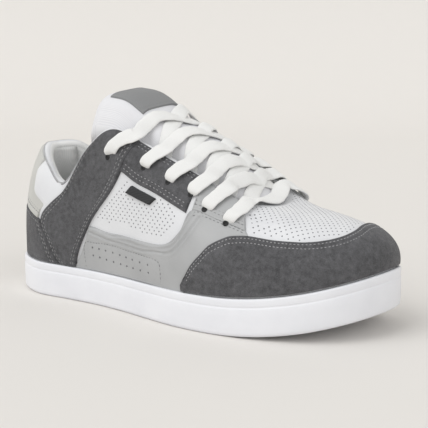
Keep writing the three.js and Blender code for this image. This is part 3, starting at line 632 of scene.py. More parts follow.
# Upper: one wall from the cup to the top line, over the rim and down inside
upper = {
    "ribs": 520,
    "outerRows": 58,
    "innerRows": 30,
    "rimRows": 11,
    "collar": (0.13, 0.19),  # the padding fades out between these places
    "padHeights": (0.4, 0.8),
    "rimRound": 0.35,
    "sidePad": [(0.052, 0.93), (0.060, 0.62), (0.086, 0.46), (0.112, 0.55), (0.128, 0.80), (0.118, 0.95)],
    "sidePuff": 2.2,
    "sideFade": 7.0,
    "liningSeams": [  # (u, s) lines sewn into the lining
        [(0.030, 0.99), (0.045, 0.80), (0.062, 0.62), (0.070, 0.40)],
        [(0.115, 0.99), (0.105, 0.80), (0.098, 0.60), (0.098, 0.40)],
    ],
    "liningPuff": (3.0, 8.0),  # outer side, inner side
    "liningFade": 8.0,
    "liningSeam": (0.8, 1.4),  # depth, width
    "creases": [  # u, s, half length along u, half width up, depth
        (0.392, 0.66, 0.018, 0.020, 0.45),
        (0.640, 0.70, 0.020, 0.022, 0.5),
        (0.375, 0.80, 0.010, 0.030, 0.5),
        (0.085, 0.60, 0.012, 0.030, 0.5),
        (0.930, 0.60, 0.015, 0.030, 0.5),
    ],
    "creaseLean": 0.35,
    "ridge": (0.6, 1.7),  # height beside the trough as a share of its depth, and how far off
}


def outerPlace(u):  # the same place on the outer side
    wrapped = np.mod(u, 1.0)
    toe = ribKnots[ribCount // 2] / perimeter
    return np.where(wrapped > toe, across(wrapped), wrapped)


def fromHeel(u):
    return np.minimum(np.mod(u, 1.0), 1 - np.mod(u, 1.0))


def wallThickness(u, s):
    pad = (1 - ease(fromHeel(u), *upper["collar"])) * ease(s, *upper["padHeights"])
    return shoe["upperThickness"] + shoe["collarPad"] * pad


def bothSides(line):
    return np.concatenate([line, np.stack([across(line[:, 0]), line[:, 1]], -1)])


def upperRelief(u, s, base):
    relief = np.zeros(np.shape(u))
    place = outerPlace(u)
    near = (place < 0.2) & (s > 0.3)
    border = bothSides(denseLine(upper["sidePad"] + upper["sidePad"][:1]))
    away = nearest(base[near], skin(border[:, 0], np.minimum(border[:, 1], 1)))
    puff = upper["sidePuff"] * (1 - np.exp(-away / upper["sideFade"]))
    relief[near] = np.where(insidePatch(place[near], s[near], upper["sidePad"]), puff, 0.0)
    height, off = upper["ridge"]
    for creaseU, creaseS, halfLength, halfWidth, depth in upper["creases"]:
        along = (np.mod(u, 1.0) - creaseU) / halfLength
        over = (s - creaseS) / halfWidth + upper["creaseLean"] * along
        relief -= depth * np.exp(-along ** 2) * (np.exp(-over ** 2) - height * np.exp(-(over - off) ** 2))
    return relief * (1 - ease(s, 0.93, 1.0))


def liningRelief(u, s, base):
    seams = np.concatenate([bothSides(denseLine(line, 80)) for line in upper["liningSeams"]])
    seamU, seamS = seams[:, 0], np.minimum(seams[:, 1], 1)
    away = nearest(base, raised(seamU, seamS, -wallThickness(seamU, seams[:, 1])))
    outerPuff, innerPuff = upper["liningPuff"]
    full = np.where(np.mod(u, 1.0) > 0.5, innerPuff, outerPuff)
    full = outerPuff + (full - outerPuff) * ease(fromHeel(u), 0.0, 0.03)
    depth, width = upper["liningSeam"]
    puff = full * (1 - np.exp(-away / upper["liningFade"])) - depth * np.exp(-(away / width) ** 2)
    puff = puff * (1 - ease(outerPlace(u), *upper["collar"]))
    return puff * ease(s, 0.3, 0.75) * (1 - ease(s, 0.84, 1.0))


def makeUpper():
    u = np.arange(upper["ribs"]) / upper["ribs"]
    rows = [footAt(u, shoe["inset"], seatAt)]
    uGrid, sGrid = np.meshgrid(u, np.linspace(0, 1, upper["outerRows"] + 1)[:-1])
    base = skin(uGrid, sGrid)
    rows.extend(base + skinNormal(uGrid, sGrid) * upperRelief(uGrid, sGrid, base)[..., None])
    thickness = wallThickness(u, 1.0)[:, None]
    normal = skinNormal(u, 1.0)
    up = unit(skin(u, 1.0) - skin(u, 0.98)) * upper["rimRound"]
    centre = skin(u, 1.0) - normal * thickness / 2 - up * thickness
    for turn in np.linspace(0, math.pi, upper["rimRows"]):
        rows.append(centre + normal * math.cos(turn) * thickness / 2 + up * math.sin(turn) * thickness)
    uGrid, sGrid = np.meshgrid(u, np.linspace(1, 0, upper["innerRows"] + 1)[1:])
    inner = raised(uGrid, sGrid, -wallThickness(uGrid, sGrid))
    rows.extend(inner - skinNormal(uGrid, sGrid) * liningRelief(uGrid, sGrid, inner)[..., None])
    rows.append(footAt(u, shoe["inset"] + shoe["upperThickness"], seatAt))
    faces = gridFaces(len(rows), len(u), closedRows=True, closedColumns=True)
    lined = np.zeros((len(rows), len(u)), int)
    lined[upper["outerRows"] + upper["rimRows"] // 2 + 1:-1] = 1
    makePiece("upperShell", np.stack(rows), faces, [whiteLeather, collarMesh], "white_leather", ["upper"],
              faceMaterial=lined.ravel())


makeUpper()
print("upper made")


# Panels on the upper: their edges as (u, s)
footLine = 0.015
panels = {
    "strapRear": [(0.1155, 0.015), (0.108, 0.10), (0.100, 0.27), (0.090, 0.44), (0.101, 0.64),
                  (0.117, 0.82), (0.136, 0.905), (0.150, 0.94), (0.163, 0.96), (0.182, 0.965)],
    "strapFront": [(0.137, 0.015), (0.1385, 0.10), (0.146, 0.24), (0.160, 0.39), (0.172, 0.46),
                   (0.193, 0.535), (0.2065, 0.62), (0.217, 0.73), (0.2275, 0.84), (0.2385, 0.965)],
    "midLow": [(0.2105, 0.645), (0.228, 0.615), (0.260, 0.60), (0.2925, 0.575)],
    "midHigh": [(0.2408, 0.965), (0.262, 0.95), (0.286, 0.95), (0.3105, 0.965)],
    "lowerLow": [(0.3035, 0.645), (0.3115, 0.66), (0.324, 0.66), (0.347, 0.65), (0.3625, 0.62)],
    "lowerHigh": [(0.3130, 0.965), (0.321, 0.96), (0.334, 0.955), (0.350, 0.955), (0.3645, 0.965)],
    "quarterLow": [(0.1395, 0.015), (0.190, 0.015), (0.240, 0.015), (0.2905, 0.015),
                   (0.306, 0.225), (0.325, 0.390), (0.346, 0.500), (0.365, 0.530)],
    "quarterHigh": [(0.1625, 0.37), (0.190, 0.29), (0.235, 0.28), (0.269, 0.31),
                    (0.289, 0.43), (0.3035, 0.625), (0.335, 0.635), (0.3620, 0.602)],
    "toeTop": [(0.2885, 0.05), (0.294, 0.12), (0.303, 0.23), (0.314, 0.33), (0.322, 0.41), (0.332, 0.47),
               (0.344, 0.525), (0.362, 0.55), (0.378, 0.54), (0.392, 0.516), (0.406, 0.492), (0.425, 0.458),
               (0.446, 0.444), (0.464, 0.452), (0.482, 0.48), (0.501, 0.52), (0.511, 0.525)],
    "counterSide": [(0.1115, 0.015), (0.1085, 0.05), (0.0985, 0.25), (0.0860, 0.43)],
    "heelSide": [(0.0845, 0.46), (0.0945, 0.62), (0.076, 0.70), (0.068, 0.80), (0.072, 0.96)],
    "tag": [(0.216, 0.527), (0.249, 0.512), (0.2255, 0.586), (0.2585, 0.570)],
    "crest": 0.045,
    "edgeSteps": (0.0, 0.25, 0.55, 0.9, 1.35, 1.8, 2.3, 2.8, 3.4, 4.0, 4.6, 5.2, 6.0),
    "base": 0.1,  # height of the edge above the skin, and how far it is sunk under it
    "sunk": 0.25,
    "stitchDepth": 0.32,
    "stitchWidth": 0.5,
    "pipingUpper": [(0.160, 0.38), (0.190, 0.28), (0.221, 0.28), (0.250, 0.28), (0.269, 0.31), (0.281, 0.35),
                    (0.290, 0.44), (0.300, 0.57), (0.306, 0.67)],
    "pipingLower": [(0.155, 0.345), (0.189, 0.245), (0.231, 0.225), (0.254, 0.24), (0.276, 0.265),
                    (0.290, 0.345), (0.301, 0.46), (0.311, 0.59)],
    "inset": [(0.151, 0.03), (0.152, 0.24), (0.169, 0.235), (0.208, 0.20), (0.240, 0.195), (0.256, 0.19),
              (0.262, 0.16), (0.262, 0.03)],
}


def ruled(fromRows, toRows):
    def place(a, b):
        start, end = smoothRow(fromRows, a), smoothRow(toRows, a)
        return start[..., 0] * (1 - b) + end[..., 0] * b, start[..., 1] * (1 - b) + end[..., 1] * b
    return place


def innerSide(place):
    def mirrored(a, b):
        u, s = place(a, b)
        return across(u), s
    return mirrored


def signedPlace(u):
    return np.where(u < 0, across(np.abs(u)), u)


def toeField(a, b):
    share = 2 * a
    outer = np.where(share <= 1, share, 2 - share)
    rows = np.array(panels["toeTop"])
    u = rows[0, 0] + (rows[-1, 0] - rows[0, 0]) * outer
    index = np.interp(u, rows[:, 0], np.arange(len(rows))) / (len(rows) - 1)
    top = smoothRow(rows, index)[..., 1]
    return np.where(share <= 1, u, across(u)), footLine + (top - footLine) * b


def roundHeel(side, crestAt):  # from the outer to the inner side, with one edge that rises at the middle
    def place(a, b):
        row = smoothRow(side, b)
        turn = 2 * a - 1
        return signedPlace(row[..., 0] * turn), row[..., 1] + panels["crest"] * crestAt(b) * (1 - turn ** 2)
    return place


counterField = roundHeel(panels["counterSide"], lambda b: b)
heelField = roundHeel(panels["heelSide"], lambda b: 1 - b)
strapField = ruled(panels["strapRear"], panels["strapFront"])
midField = ruled(panels["midLow"], panels["midHigh"])
lowerField = ruled(panels["lowerLow"], panels["lowerHigh"])
quarterField = ruled(panels["quarterLow"], panels["quarterHigh"])
tagField = ruled(panels["tag"][:2], panels["tag"][2:])


def fieldLengths(field):  # the longest ways along and over a panel
    t = np.linspace(0, 1, 25)
    same = [np.full(25, v) for v in (0.1, 0.5, 0.9)]
    along = [skin(*field(t, v)) for v in same]
    over = [skin(*field(v, t)) for v in same]
    return [max(np.linalg.norm(np.diff(line, axis=0), axis=1).sum() for line in way) for way in (along, over)]


def edgeSpaced(length, pitch, before=0.0, after=0.0):  # shares of a side, close together near both ends
    total = length + before + after
    steps = [v for v in panels["edgeSteps"] if v < total * 0.45]
    middle = total - 2 * steps[-1]
    count = max(math.ceil(middle / pitch), 1)
    inner = [steps[-1] + middle * k / count for k in range(1, count)]
    marks = np.array(steps + inner + [total - v for v in reversed(steps)])
    return (marks - before) / length, marks, total - marks


def nearEdge(a0, a1, b0, b1):
    return np.minimum(np.minimum(a0, a1)[:, None], np.minimum(b0, b1)[None])


def rolled(near, roll):  # a rounded edge, 0 at the rim and 1 from the roll inwards
    return np.sqrt(1 - (1 - clamp01(near / roll)) ** 2)


def panelPiece(name, field, look, top, node, slotName, pitch=1.7, grow=(0, 0, 0, 0), roll=1.1,
               relief=None, seams=()):
    along, over = fieldLengths(field)
    a, a0, a1 = edgeSpaced(along, pitch, grow[0], grow[1])
    b, b0, b1 = edgeSpaced(over, pitch, grow[2], grow[3])
    away = {"a0": a0[:, None], "a1": a1[:, None], "b0": b0[None], "b1": b1[None]}
    near = nearEdge(a0, a1, b0, b1)
    u, s = field(*np.meshgrid(a, b, indexing="ij"))
    height = panels["base"] + (top - panels["base"]) * rolled(near, roll)
    for side, offset in seams:
        seam = np.exp(-((away[side] - offset) / panels["stitchWidth"]) ** 2) * ease(near, 0.3, 1.5)
        height = height - panels["stitchDepth"] * seam
    if relief is not None:
        height = height + relief(u, s) * ease(near, 0.2, 1.2)
    under = raised(u, s, np.full(u.shape, -panels["sunk"]))
    makePiece(name, *sheetMesh(raised(u, s, height), under), [look], slotName, [node])


panelHeights = {"toe": 2.5, "strap": 2.3, "counter": 1.9, "heel": 1.5, "mid": 1.5, "lower": 1.9,
                "quarter": 1.4, "tag": 2.3}
stitchRows = {  # side of the panel and distance from it
    "toe": [("b1", 2.3), ("b1", 5.2)],
    "strap": [("b0", 2.3), ("b0", 4.6), ("b1", 2.3), ("b1", 4.6)],
    "counter": [("a0", 4.3), ("a0", 6.2), ("a1", 4.3), ("a1", 6.2), ("b1", 2.3)],
    "heel": [("b0", 4.6), ("b0", 6.8)],
    "mid": [("b0", 2.3), ("b0", 4.6), ("b1", 2.3), ("b1", 5.2)],
    "lower": [("b0", 1.8), ("b0", 4.0), ("a0", 2.3), ("b1", 2.3)],
}


pressed = {"pipingUpper": 0.5, "pipingLower": 0.5, "inset": 0.45}  # depth of each line pressed in the quarter
pressedWidth = 0.6
welt = {"height": 0.5, "off": 1.5, "width": 0.8}  # beside the two piped lines


def quarterRelief(mirrored):
    def relief(u, s):
        flat = raised(u, s, np.zeros(u.shape))
        total = np.zeros(u.shape)
        for key, depth in pressed.items():
            line = denseLine(panels[key])
            place = across(line[:, 0]) if mirrored else line[:, 0]
            away = nearest(flat, skin(place, line[:, 1]))
            total -= depth * np.exp(-(away / pressedWidth) ** 2)
            if key != "inset":
                total += welt["height"] * np.exp(-((away - welt["off"]) / welt["width"]) ** 2)
        return total
    return relief


panelPiece("toeCap", toeField, darkSuede, panelHeights["toe"], "toe_overlay", "dark_suede",
           seams=stitchRows["toe"])
panelPiece("heelCounter", counterField, darkSuede, panelHeights["counter"], "heel_counter", "dark_suede",
           grow=(2.0, 2.0, 0, 0), seams=stitchRows["counter"])
panelPiece("heelPanel", heelField, heelLeather, panelHeights["heel"], "heel_panel", "grey_leather",
           grow=(0, 0, 2.5, 0), seams=stitchRows["heel"])
panelPiece("sideTag", tagField, darkLabel, panelHeights["tag"], "side_tag", "dark_label", pitch=1.2, roll=0.7)
for sideName, turned in (("Outer", lambda field: field), ("Inner", innerSide)):
    tail = sideName.lower()
    panelPiece("saddleStrap" + sideName, turned(strapField), darkSuede, panelHeights["strap"],
               "saddle_strap_" + tail, "dark_suede", seams=stitchRows["strap"])
    panelPiece("midEyestay" + sideName, turned(midField), darkSuede, panelHeights["mid"],
               "mid_eyestay_" + tail, "dark_suede", grow=(3.0, 2.0, 0, 0), seams=stitchRows["mid"])
    panelPiece("lowerEyestay" + sideName, turned(lowerField), greyLeather, panelHeights["lower"],
               "lower_eyestay_" + tail, "grey_leather", seams=stitchRows["lower"],
               grow=(0, 9.0 if sideName == "Inner" else 0, 2.4, 0))
    panelPiece("quarter" + sideName, turned(quarterField), greyLeather, panelHeights["quarter"],
               "quarter_" + tail, "grey_leather", pitch=1.1, grow=(2.0, 0.5, 1.5, 0),
               relief=quarterRelief(sideName == "Inner"))
print("panels made")


# Stitches: short rounded threads along lines of (u, s)
threads = {  # length, gap, thickness
    "strapStitches": (1.9, 1.3, 0.6),
    "capStitches": (1.3, 1.2, 0.65),
    "eyestayStitches": (1.4, 1.8, 0.6),
    "leatherStitches": (1.6, 1.2, 0.5),
}
threadMarks = np.array([(-0.5, 0.35), (-0.36, 1.0), (0.36, 1.0), (0.5, 0.35)])  # along a stitch, girth
threadSides = 6


def edgeLine(field, side, offset, start=0.0, end=1.0):
    t = np.linspace(start, end, 240)
    over = np.linspace(0, 1, 13)
    if side[0] == "b":
        a, b = np.meshgrid(t, over, indexing="ij")
    else:
        b, a = np.meshgrid(t, over, indexing="ij")
    width = np.linalg.norm(np.diff(skin(*field(a, b)), axis=1), axis=-1).sum(1)
    share = offset / width if side[1] == "0" else 1 - offset / width
    return field(t, share) if side[0] == "b" else field(share, t)


def alongLine(spots, walked, values):
    return np.stack([np.interp(spots, walked, values[:, k]) for k in range(3)], -1)


def stitchPiece(name, lines, thread, slotName):
    length, gap, thick = threads[name]
    marks = threadMarks[:, 0, None, None] * length
    girths = threadMarks[:, 1, None, None] * thick / 2
    turns = np.linspace(0, math.tau, threadSides, endpoint=False)
    cosine, sine = np.cos(turns)[None, :, None], np.sin(turns)[None, :, None]
    ring = gridFaces(len(threadMarks), threadSides, closedColumns=True)
    size = len(threadMarks) * threadSides
    points, faces = [], []
    for u, s, height in lines:
        path = raised(u, s, np.full(np.shape(u), height))
        walked = np.concatenate([[0], np.cumsum(np.linalg.norm(np.diff(path, axis=0), axis=1))])
        count = max(int(walked[-1] / (length + gap)), 1)
        spots = (np.arange(count) + 0.5) * walked[-1] / count
        centre = alongLine(spots, walked, path)
        normal = unit(alongLine(spots, walked, skinNormal(u, s)))
        tangent = unit(alongLine(spots + 0.5, walked, path) - alongLine(spots - 0.5, walked, path))
        side = np.cross(normal, tangent)
        for c, n, g, d in zip(centre, normal, tangent, side):
            base = len(points) * size
            points.append((c + marks * g + girths * (cosine * d + sine * n)).reshape(-1, 3))
            faces.extend((ring + base).tolist())
            faces.append([base + k for k in range(threadSides)][::-1])
            faces.append([base + size - threadSides + k for k in range(threadSides)])
    makePiece(name, np.concatenate(points), faces, [thread], slotName)


def sewn(field, key, ends=(0.0, 1.0)):
    height = panelHeights[key] - panels["stitchDepth"] + 0.12
    return [(*edgeLine(field, side, offset, *(ends if side[0] == "b" else (0.03, 0.97))), height)
            for side, offset in stitchRows[key]]


def lineOf(rows, mirrored, height):
    line = denseLine(rows)
    return (across(line[:, 0]) if mirrored else line[:, 0]), line[:, 1], height


doubleRow = [[(0.303, 0.600), (0.3115, 0.632), (0.324, 0.640), (0.347, 0.622), (0.361, 0.592)],
             [(0.303, 0.575), (0.3125, 0.610), (0.325, 0.618), (0.347, 0.600), (0.360, 0.572)]]
capRows = sewn(toeField, "toe", (0.02, 0.98))
eyestayRows = []
suedeRows = [(*edgeLine(counterField, side, offset, 0.03, 0.97), panelHeights["counter"] - 0.2)
              for side, offset in (("a0", 2.3), ("a0", 4.2), ("a1", 2.3), ("a1", 4.2), ("b1", 2.3))]
greyRows = [(*edgeLine(heelField, "b0", offset), panelHeights["heel"] - 0.2) for offset in (2.1, 4.3)]
for mirrored, turned in ((False, lambda field: field), (True, innerSide)):
    suedeRows += sewn(turned(strapField), "strap", (0.02, 0.98))
    eyestayRows += sewn(turned(midField), "mid")
    greyRows += sewn(turned(lowerField), "lower", (0.02, 0.98))
    greyRows += [lineOf(row, mirrored, panelHeights["quarter"] + 0.05) for row in doubleRow]
    greyRows += [lineOf(panels["inset"], mirrored, panelHeights["quarter"] - 0.3)]
stitchPiece("strapStitches", suedeRows, darkThread, "dark_suede")
stitchPiece("capStitches", capRows, paleThread, "dark_suede")
stitchPiece("eyestayStitches", eyestayRows, paleThread, "dark_suede")
stitchPiece("leatherStitches", greyRows, greyThread, "grey_leather")
print("stitches made")


# Punched holes and pinholes: small discs on the leather, their dark grey painted shade for the hollow of each
# hole
holes = {
    "sides": 9,
    "radius": 0.5,
    "lift": 0.06,  # above the leather, and the depth of a disc
    "depth": 0.25,
    "steps": (4.5, 2.25),  # along a row, from row to row
    "windowFrom": (105.0, 50.0),
    "windowSpan": ((0.160, 0.300, 560), (0.25, 0.66, 380)),
    "vampFrom": (232.0, 0.0),
    "tagEdge": [(0.211, 0.515), (0.252, 0.498), (0.262, 0.585), (0.222, 0.60)],
    "window": [(0.215, 0.60), (0.228, 0.60), (0.260, 0.58), (0.287, 0.565), (0.281, 0.47), (0.273, 0.38),
               (0.262, 0.345), (0.250, 0.335), (0.232, 0.335), (0.190, 0.355), (0.170, 0.405), (0.181, 0.47),
               (0.200, 0.535)],
    "vampRear": 0.370,
    "vampMargin": 0.035,
    "vampTop": 0.97,
    "pinRadius": 0.75,
    "pinRows": [
        [(0.163, 0.205), (0.182, 0.180), (0.203, 0.160), (0.222, 0.150), (0.245, 0.145)],
        [(0.163, 0.140), (0.182, 0.115), (0.203, 0.100), (0.222, 0.095), (0.245, 0.092)],
    ],
    "pinCount": 9,
}


def holePiece(name, u, s, height, radius, material, slotName):
    sides = holes["sides"]
    turns = np.linspace(0, math.tau, sides, endpoint=False)
    centre = raised(u, s, np.full(u.shape, height + holes["lift"]))
    normal = skinNormal(u, s)
    first, second = flatAxes(normal)
    ring = centre[:, None] + radius * (np.cos(turns)[None, :, None] * first[:, None]
                                       + np.sin(turns)[None, :, None] * second[:, None])
    points = np.concatenate([ring, ring - normal[:, None] * holes["depth"]], 1)
    faces = [face for k in range(len(u)) for face in discFaces(sides, 2 * sides * k)]
    makePiece(name, points, faces, [material], slotName)


def spottedOver(u, s, axes, start, allowed):  # a quincunx of (u, s) that is even when seen along one axis
    flat = skin(u, s)[..., axes].reshape(-1, 2)
    places = np.stack([u.ravel(), s.ravel()], -1)
    pitch, rowStep = holes["steps"]
    low = np.floor((flat.min(0) - start) / holes["steps"]).astype(int)
    high = np.ceil((flat.max(0) - start) / holes["steps"]).astype(int)
    found = []
    for row in range(low[1], high[1]):
        level = start[1] + row * rowStep
        band = np.abs(flat[:, 1] - level) < 0.6
        if not band.any():
            continue
        near = flat[band]
        for column in range(low[0], high[0]):
            along = start[0] + (column + 0.5 * (row % 2)) * pitch
            away = np.hypot(near[:, 0] - along, near[:, 1] - level)
            best = np.argmin(away)
            if away[best] < 0.5:
                found.append(places[band][best])
    found = np.array(found)
    return found[allowed(found[:, 0], found[:, 1])]


def windowHoles():
    u, s = np.meshgrid(*(np.linspace(*span) for span in holes["windowSpan"]), indexing="ij")

    def allowed(u, s):
        return insidePatch(u, s, holes["window"]) & ~insidePatch(u, s, holes["tagEdge"])
    return spottedOver(u, s, [0, 2], holes["windowFrom"], allowed)


def vampHoles():
    rear = holes["vampRear"]
    u = np.linspace(rear, across(rear), 860)
    u, s = np.meshgrid(u, np.linspace(0.45, holes["vampTop"], 420), indexing="ij")
    rows = np.array(panels["toeTop"])

    def allowed(u, s):
        border = np.interp(outerPlace(u), rows[:, 0], rows[:, 1]) + holes["vampMargin"]
        return (s > border) & (s < holes["vampTop"] - 0.01)
    return spottedOver(u, s, [0, 1], holes["vampFrom"], allowed)


windowSpots = windowHoles()
spots = np.concatenate([bothSides(windowSpots), vampHoles()])
# the punched holes are discs in painted shade, not cut openings
holePiece("punchedHoles", spots[:, 0], spots[:, 1], 0.0, holes["radius"], paintedHoleShade, "white_leather")
pins = np.concatenate([smoothRow(row, np.linspace(0, 1, holes["pinCount"])) for row in holes["pinRows"]])
pins = bothSides(pins)
# the pinholes are discs in painted shade, not cut openings
holePiece("pinHoles", pins[:, 0], pins[:, 1], panelHeights["quarter"], holes["pinRadius"], paintedPinholeShade,
          "grey_leather")
print("holes made:", len(spots), len(pins))


# Tongue, a row per station from under the vamp to the free end
# x | crest | half width | edge drop, thickness | squareness of the arch | edge drop of the inner side
tongueRows = np.array([
    (0.797, 0.500, 0.130, 0.024, 0.024, 2.4, 0.024),
    (0.750, 0.532, 0.172, 0.040, 0.032, 2.4, 0.036),
    (0.693, 0.648, 0.236, 0.100, 0.048, 2.6, 0.065),
    (0.620, 0.815, 0.268, 0.190, 0.080, 3.2, 0.180),
    (0.567, 0.895, 0.268, 0.215, 0.100, 3.4, 0.205),
    (0.513, 0.960, 0.262, 0.210, 0.120, 3.8, 0.180),
    (0.447, 1.020, 0.250, 0.185, 0.140, 4.2, 0.110),
    (0.393, 1.095, 0.255, 0.165, 0.165, 4.6, 0.070),
    (0.345, 1.160, 0.262, 0.159, 0.180, 4.6, 0.070),
    (0.290, 1.182, 0.262, 0.159, 0.190, 4.6, 0.080),
]) * np.array([shoe[key] if key else 1.0 for key in (
    "length", "instep", "width", "instep", "instep", "", "instep")])
tongue = {
    "rows": 90,
    "half": 26,
    "tilt": 0.08,
    "end": 0.036 * shoe["length"],
    "labelFront": 0.392 * shoe["length"],
    "labelRear": 0.295 * shoe["length"],
    "labelSides": (-0.158 * shoe["width"], 0.220 * shoe["width"]),
    "labelTop": 1.5,
    "labelBase": 0.45,
    "labelSunk": 0.2,
    "labelGroove": (0.25, 2.0, 0.4),  # depth, place from the edge, width
    "tipTurn": 0.985,
    "tipWidth": 0.8,
    "edgeThin": (0.35, 0.72),  # how far the edge is thinned, behind and in front
    "thinBetween": (95.0, 130.0),
    "crown": 0.4,
    "crownReach": 60.0,
    "seam": (0.9, 0.86, 0.035),  # depth, share of the half width, its width
    "seamEnd": (150.0, 190.0),
}


def tongueAt(x):
    front = tongueRows[0, 0]
    return openCurve(tongueRows, front - tongueRows[:, 0], front - np.maximum(x, tongueRows[-1, 0]))


def tongueTop(x, y):
    row = tongueAt(x)
    past = clamp01((tongueRows[-1, 0] - x) / tongue["end"])
    share = np.minimum(np.abs(y) / row[..., 2], 1)
    drop = np.where(np.asarray(y) > 0, row[..., 6], row[..., 3])
    fall = drop * share ** row[..., 5] + (1 - np.sqrt(1 - past ** 2)) * 0.5 * tongueRows[-1, 4]
    return row[..., 1] + tongue["tilt"] * y - fall


def makeTongue():
    front, rear = tongueRows[0, 0], tongueRows[-1, 0]
    body = np.linspace(front, rear, tongue["rows"])
    tip = rear - tongue["end"] * np.sin(np.linspace(0, 1, 12)[1:] * math.pi / 2 * tongue["tipTurn"])
    x = np.concatenate([body, tip])
    row = tongueAt(x)[:, None]
    past = clamp01((rear - x) / tongue["end"])[:, None]
    left = np.sqrt(1 - past ** 2)
    shares = np.sin(np.linspace(-1, 1, 2 * tongue["half"] + 1) * math.pi / 2)[None]
    y = row[..., 2] * (tongue["tipWidth"] + (1 - tongue["tipWidth"]) * left) * shares
    drop = np.where(shares > 0, row[..., 6], row[..., 3])
    fall = drop * np.abs(shares) ** row[..., 5] + (1 - left) * 0.5 * row[..., 4]
    thinRear, thinFront = tongue["edgeThin"]
    edge = thinRear + (thinFront - thinRear) * ease(x, *tongue["thinBetween"])[:, None]
    full = ease(x, front, front - tongue["crownReach"])[:, None]
    crown = tongue["crown"] * np.cos(shares * math.pi / 2) * full
    depth, place, width = tongue["seam"]
    seam = depth * np.exp(-((np.abs(shares) - place) / width) ** 2)
    seam = seam * (1 - ease(x, *tongue["seamEnd"]))[:, None]
    middle = row[..., 1] + tongue["tilt"] * y - fall
    top = middle + crown - seam
    under = middle - row[..., 4] * left * (1 - edge * shares ** 4)
    xs = np.broadcast_to(x[:, None], y.shape)
    upperHalf = np.stack([xs, y, top], -1)
    lowerHalf = np.stack([xs, y, under], -1)[:, ::-1]
    loops = np.concatenate([upperHalf, lowerHalf], 1)
    faces = gridFaces(len(x), loops.shape[1], closedColumns=True)
    width = upperHalf.shape[1]
    caps = []
    for start in (0, (len(x) - 1) * loops.shape[1]):
        for j in range(width - 1):
            caps.append([start + j, start + j + 1, start + 2 * width - 2 - j, start + 2 * width - 1 - j])
    faces = np.concatenate([faces, np.array(caps)])
    piece = makePiece("tonguePad", loops, faces, [tongueMesh], "white_mesh", ["tongue"])


def tongueNormal(x, y):
    step = 0.5
    slopeX = (tongueTop(x + step, y) - tongueTop(x - step, y)) / (2 * step)
    slopeY = (tongueTop(x, y + step) - tongueTop(x, y - step)) / (2 * step)
    return unit(np.stack([-slopeX, -slopeY, np.ones(np.shape(x))], -1))


def makeLabel():
    front, (first, last) = tongue["labelFront"], tongue["labelSides"]
    long, wide = front - tongue["labelRear"], last - first
    a, a0, a1 = edgeSpaced(long, 1.2)
    b, b0, b1 = edgeSpaced(wide, 1.2)
    x, y = np.meshgrid(front - long * a, first + wide * b, indexing="ij")
    near = nearEdge(a0, a1, b0, b1)
    depth, place, width = tongue["labelGroove"]
    groove = depth * np.exp(-((near - place) / width) ** 2)
    height = tongue["labelBase"] + (tongue["labelTop"] - tongue["labelBase"]) * rolled(near, 0.7) - groove
    centre = np.stack([x, y, tongueTop(x, y)], -1)
    normal = tongueNormal(x, y)
    mesh = sheetMesh(centre + normal * height[..., None], centre + normal * tongue["labelSunk"])
    makePiece("tongueLabel", *mesh, [greyLabel], "grey_label", ["tongue_label"])


makeTongue()
makeLabel()
print("tongue made")


# Laces: each band comes up at an eyelet, crosses the tongue and ends under the far edge one row lower
laces = {
    "width": 10.6,
    "thickness": 1.6,
    "clear": 1.3,  # middle of the band above the tongue
    "step": 2.6,  # how much higher a band starts than it ends
    "barBow": 0.027 * shoe["length"],
    "samples": 96,
    "innerShift": (0.0, -0.004, -0.009, -0.014, -0.017, -0.022),
    "innerRise": (0.0, 0.0, 0.01, 0.03, 0.05, 0.05),  # the inner eyelets lie nearer the toe and higher
    "eyelets": [  # place, height, how far the band moves to the toe before the throat
        (0.199, 0.78, 0.033), (0.246, 0.77, 0.023), (0.278, 0.76, 0.019),
        (0.303, 0.76, 0.015), (0.319, 0.71, 0.021), (0.344, 0.67, 0.029),
    ],
    "edge": 0.97,
    "finger": [  # from eyelet to throat: share, height, share of the width
        (-0.07, 0.6, 0.60), (-0.03, 2.4, 0.80), (0.10, 3.7, 0.92), (0.4, 3.9, 0.97), (0.72, 4.1, 1.0),
        (1.0, 4.7, 1.03),
    ],
    "marks": (0.74, 0.5, 0.25, 0.0, -0.25, -0.5, -0.74),  # from its own side of the tongue to the far one
    "over": (1.5, 0.22),  # how much higher the outer band crosses the inner one, and how broadly
    "crossWidth": 1.04,
    "tuck": 2.0,  # where a band ends, inside the far edge of the throat
    "barLift": 0.6,
    "barClear": 1.6,
    "barRise": (0.5, 1.2),
    "barWidth": 1.1,
    "sides": 22,
    "corner": (0.55, 0.75),
    "crown": 0.22,
    "wave": [(0.035, 0.35, 1.7), (0.02, 0.9, 1.0)],  # share of the width, turn per mm, turn per band
}


def lacePlace(row, outer, share):  # on the line from the eyelet, 0, to the edge of the throat, 1
    ownU, ownS, lean = laces["eyelets"][row]
    u = ownU + lean * share
    if not outer:
        ownS += laces["innerRise"][row]
        u = float(across(u) + laces["innerShift"][row])
    return u, ownS + (laces["edge"] - ownS) * share


def fingerFrames(row, outer, lift=1.0):  # centre, half side, upward
    frames = []
    for share, height, wide in laces["finger"]:
        u, s = lacePlace(row, outer, share)
        height *= lift if share > 0.2 else 1.0
        along = unit(skin(u + 0.002, s) - skin(u - 0.002, s)) * (1 if outer else -1)
        centre = raised(u, s, height)
        frames.append((centre, along * 0.5 * laces["width"] * wide, skinNormal(u, s)))
    return frames


def bridgeFrame(x, y, height):  # the same, where the band lies over the tongue
    z = float(tongueTop(x, y)) + height
    half = 0.5 * laces["width"] * laces["crossWidth"]
    rise = float(tongueTop(x + half, y) - tongueTop(x - half, y))
    return np.array([x, y, z]), unit(np.array([2 * half, 0, rise])) * half, tongueNormal(x, y)


def throatEdge(row, outer):
    return skin(lacePlace(row, outer, 1.0)[0], 1.0)


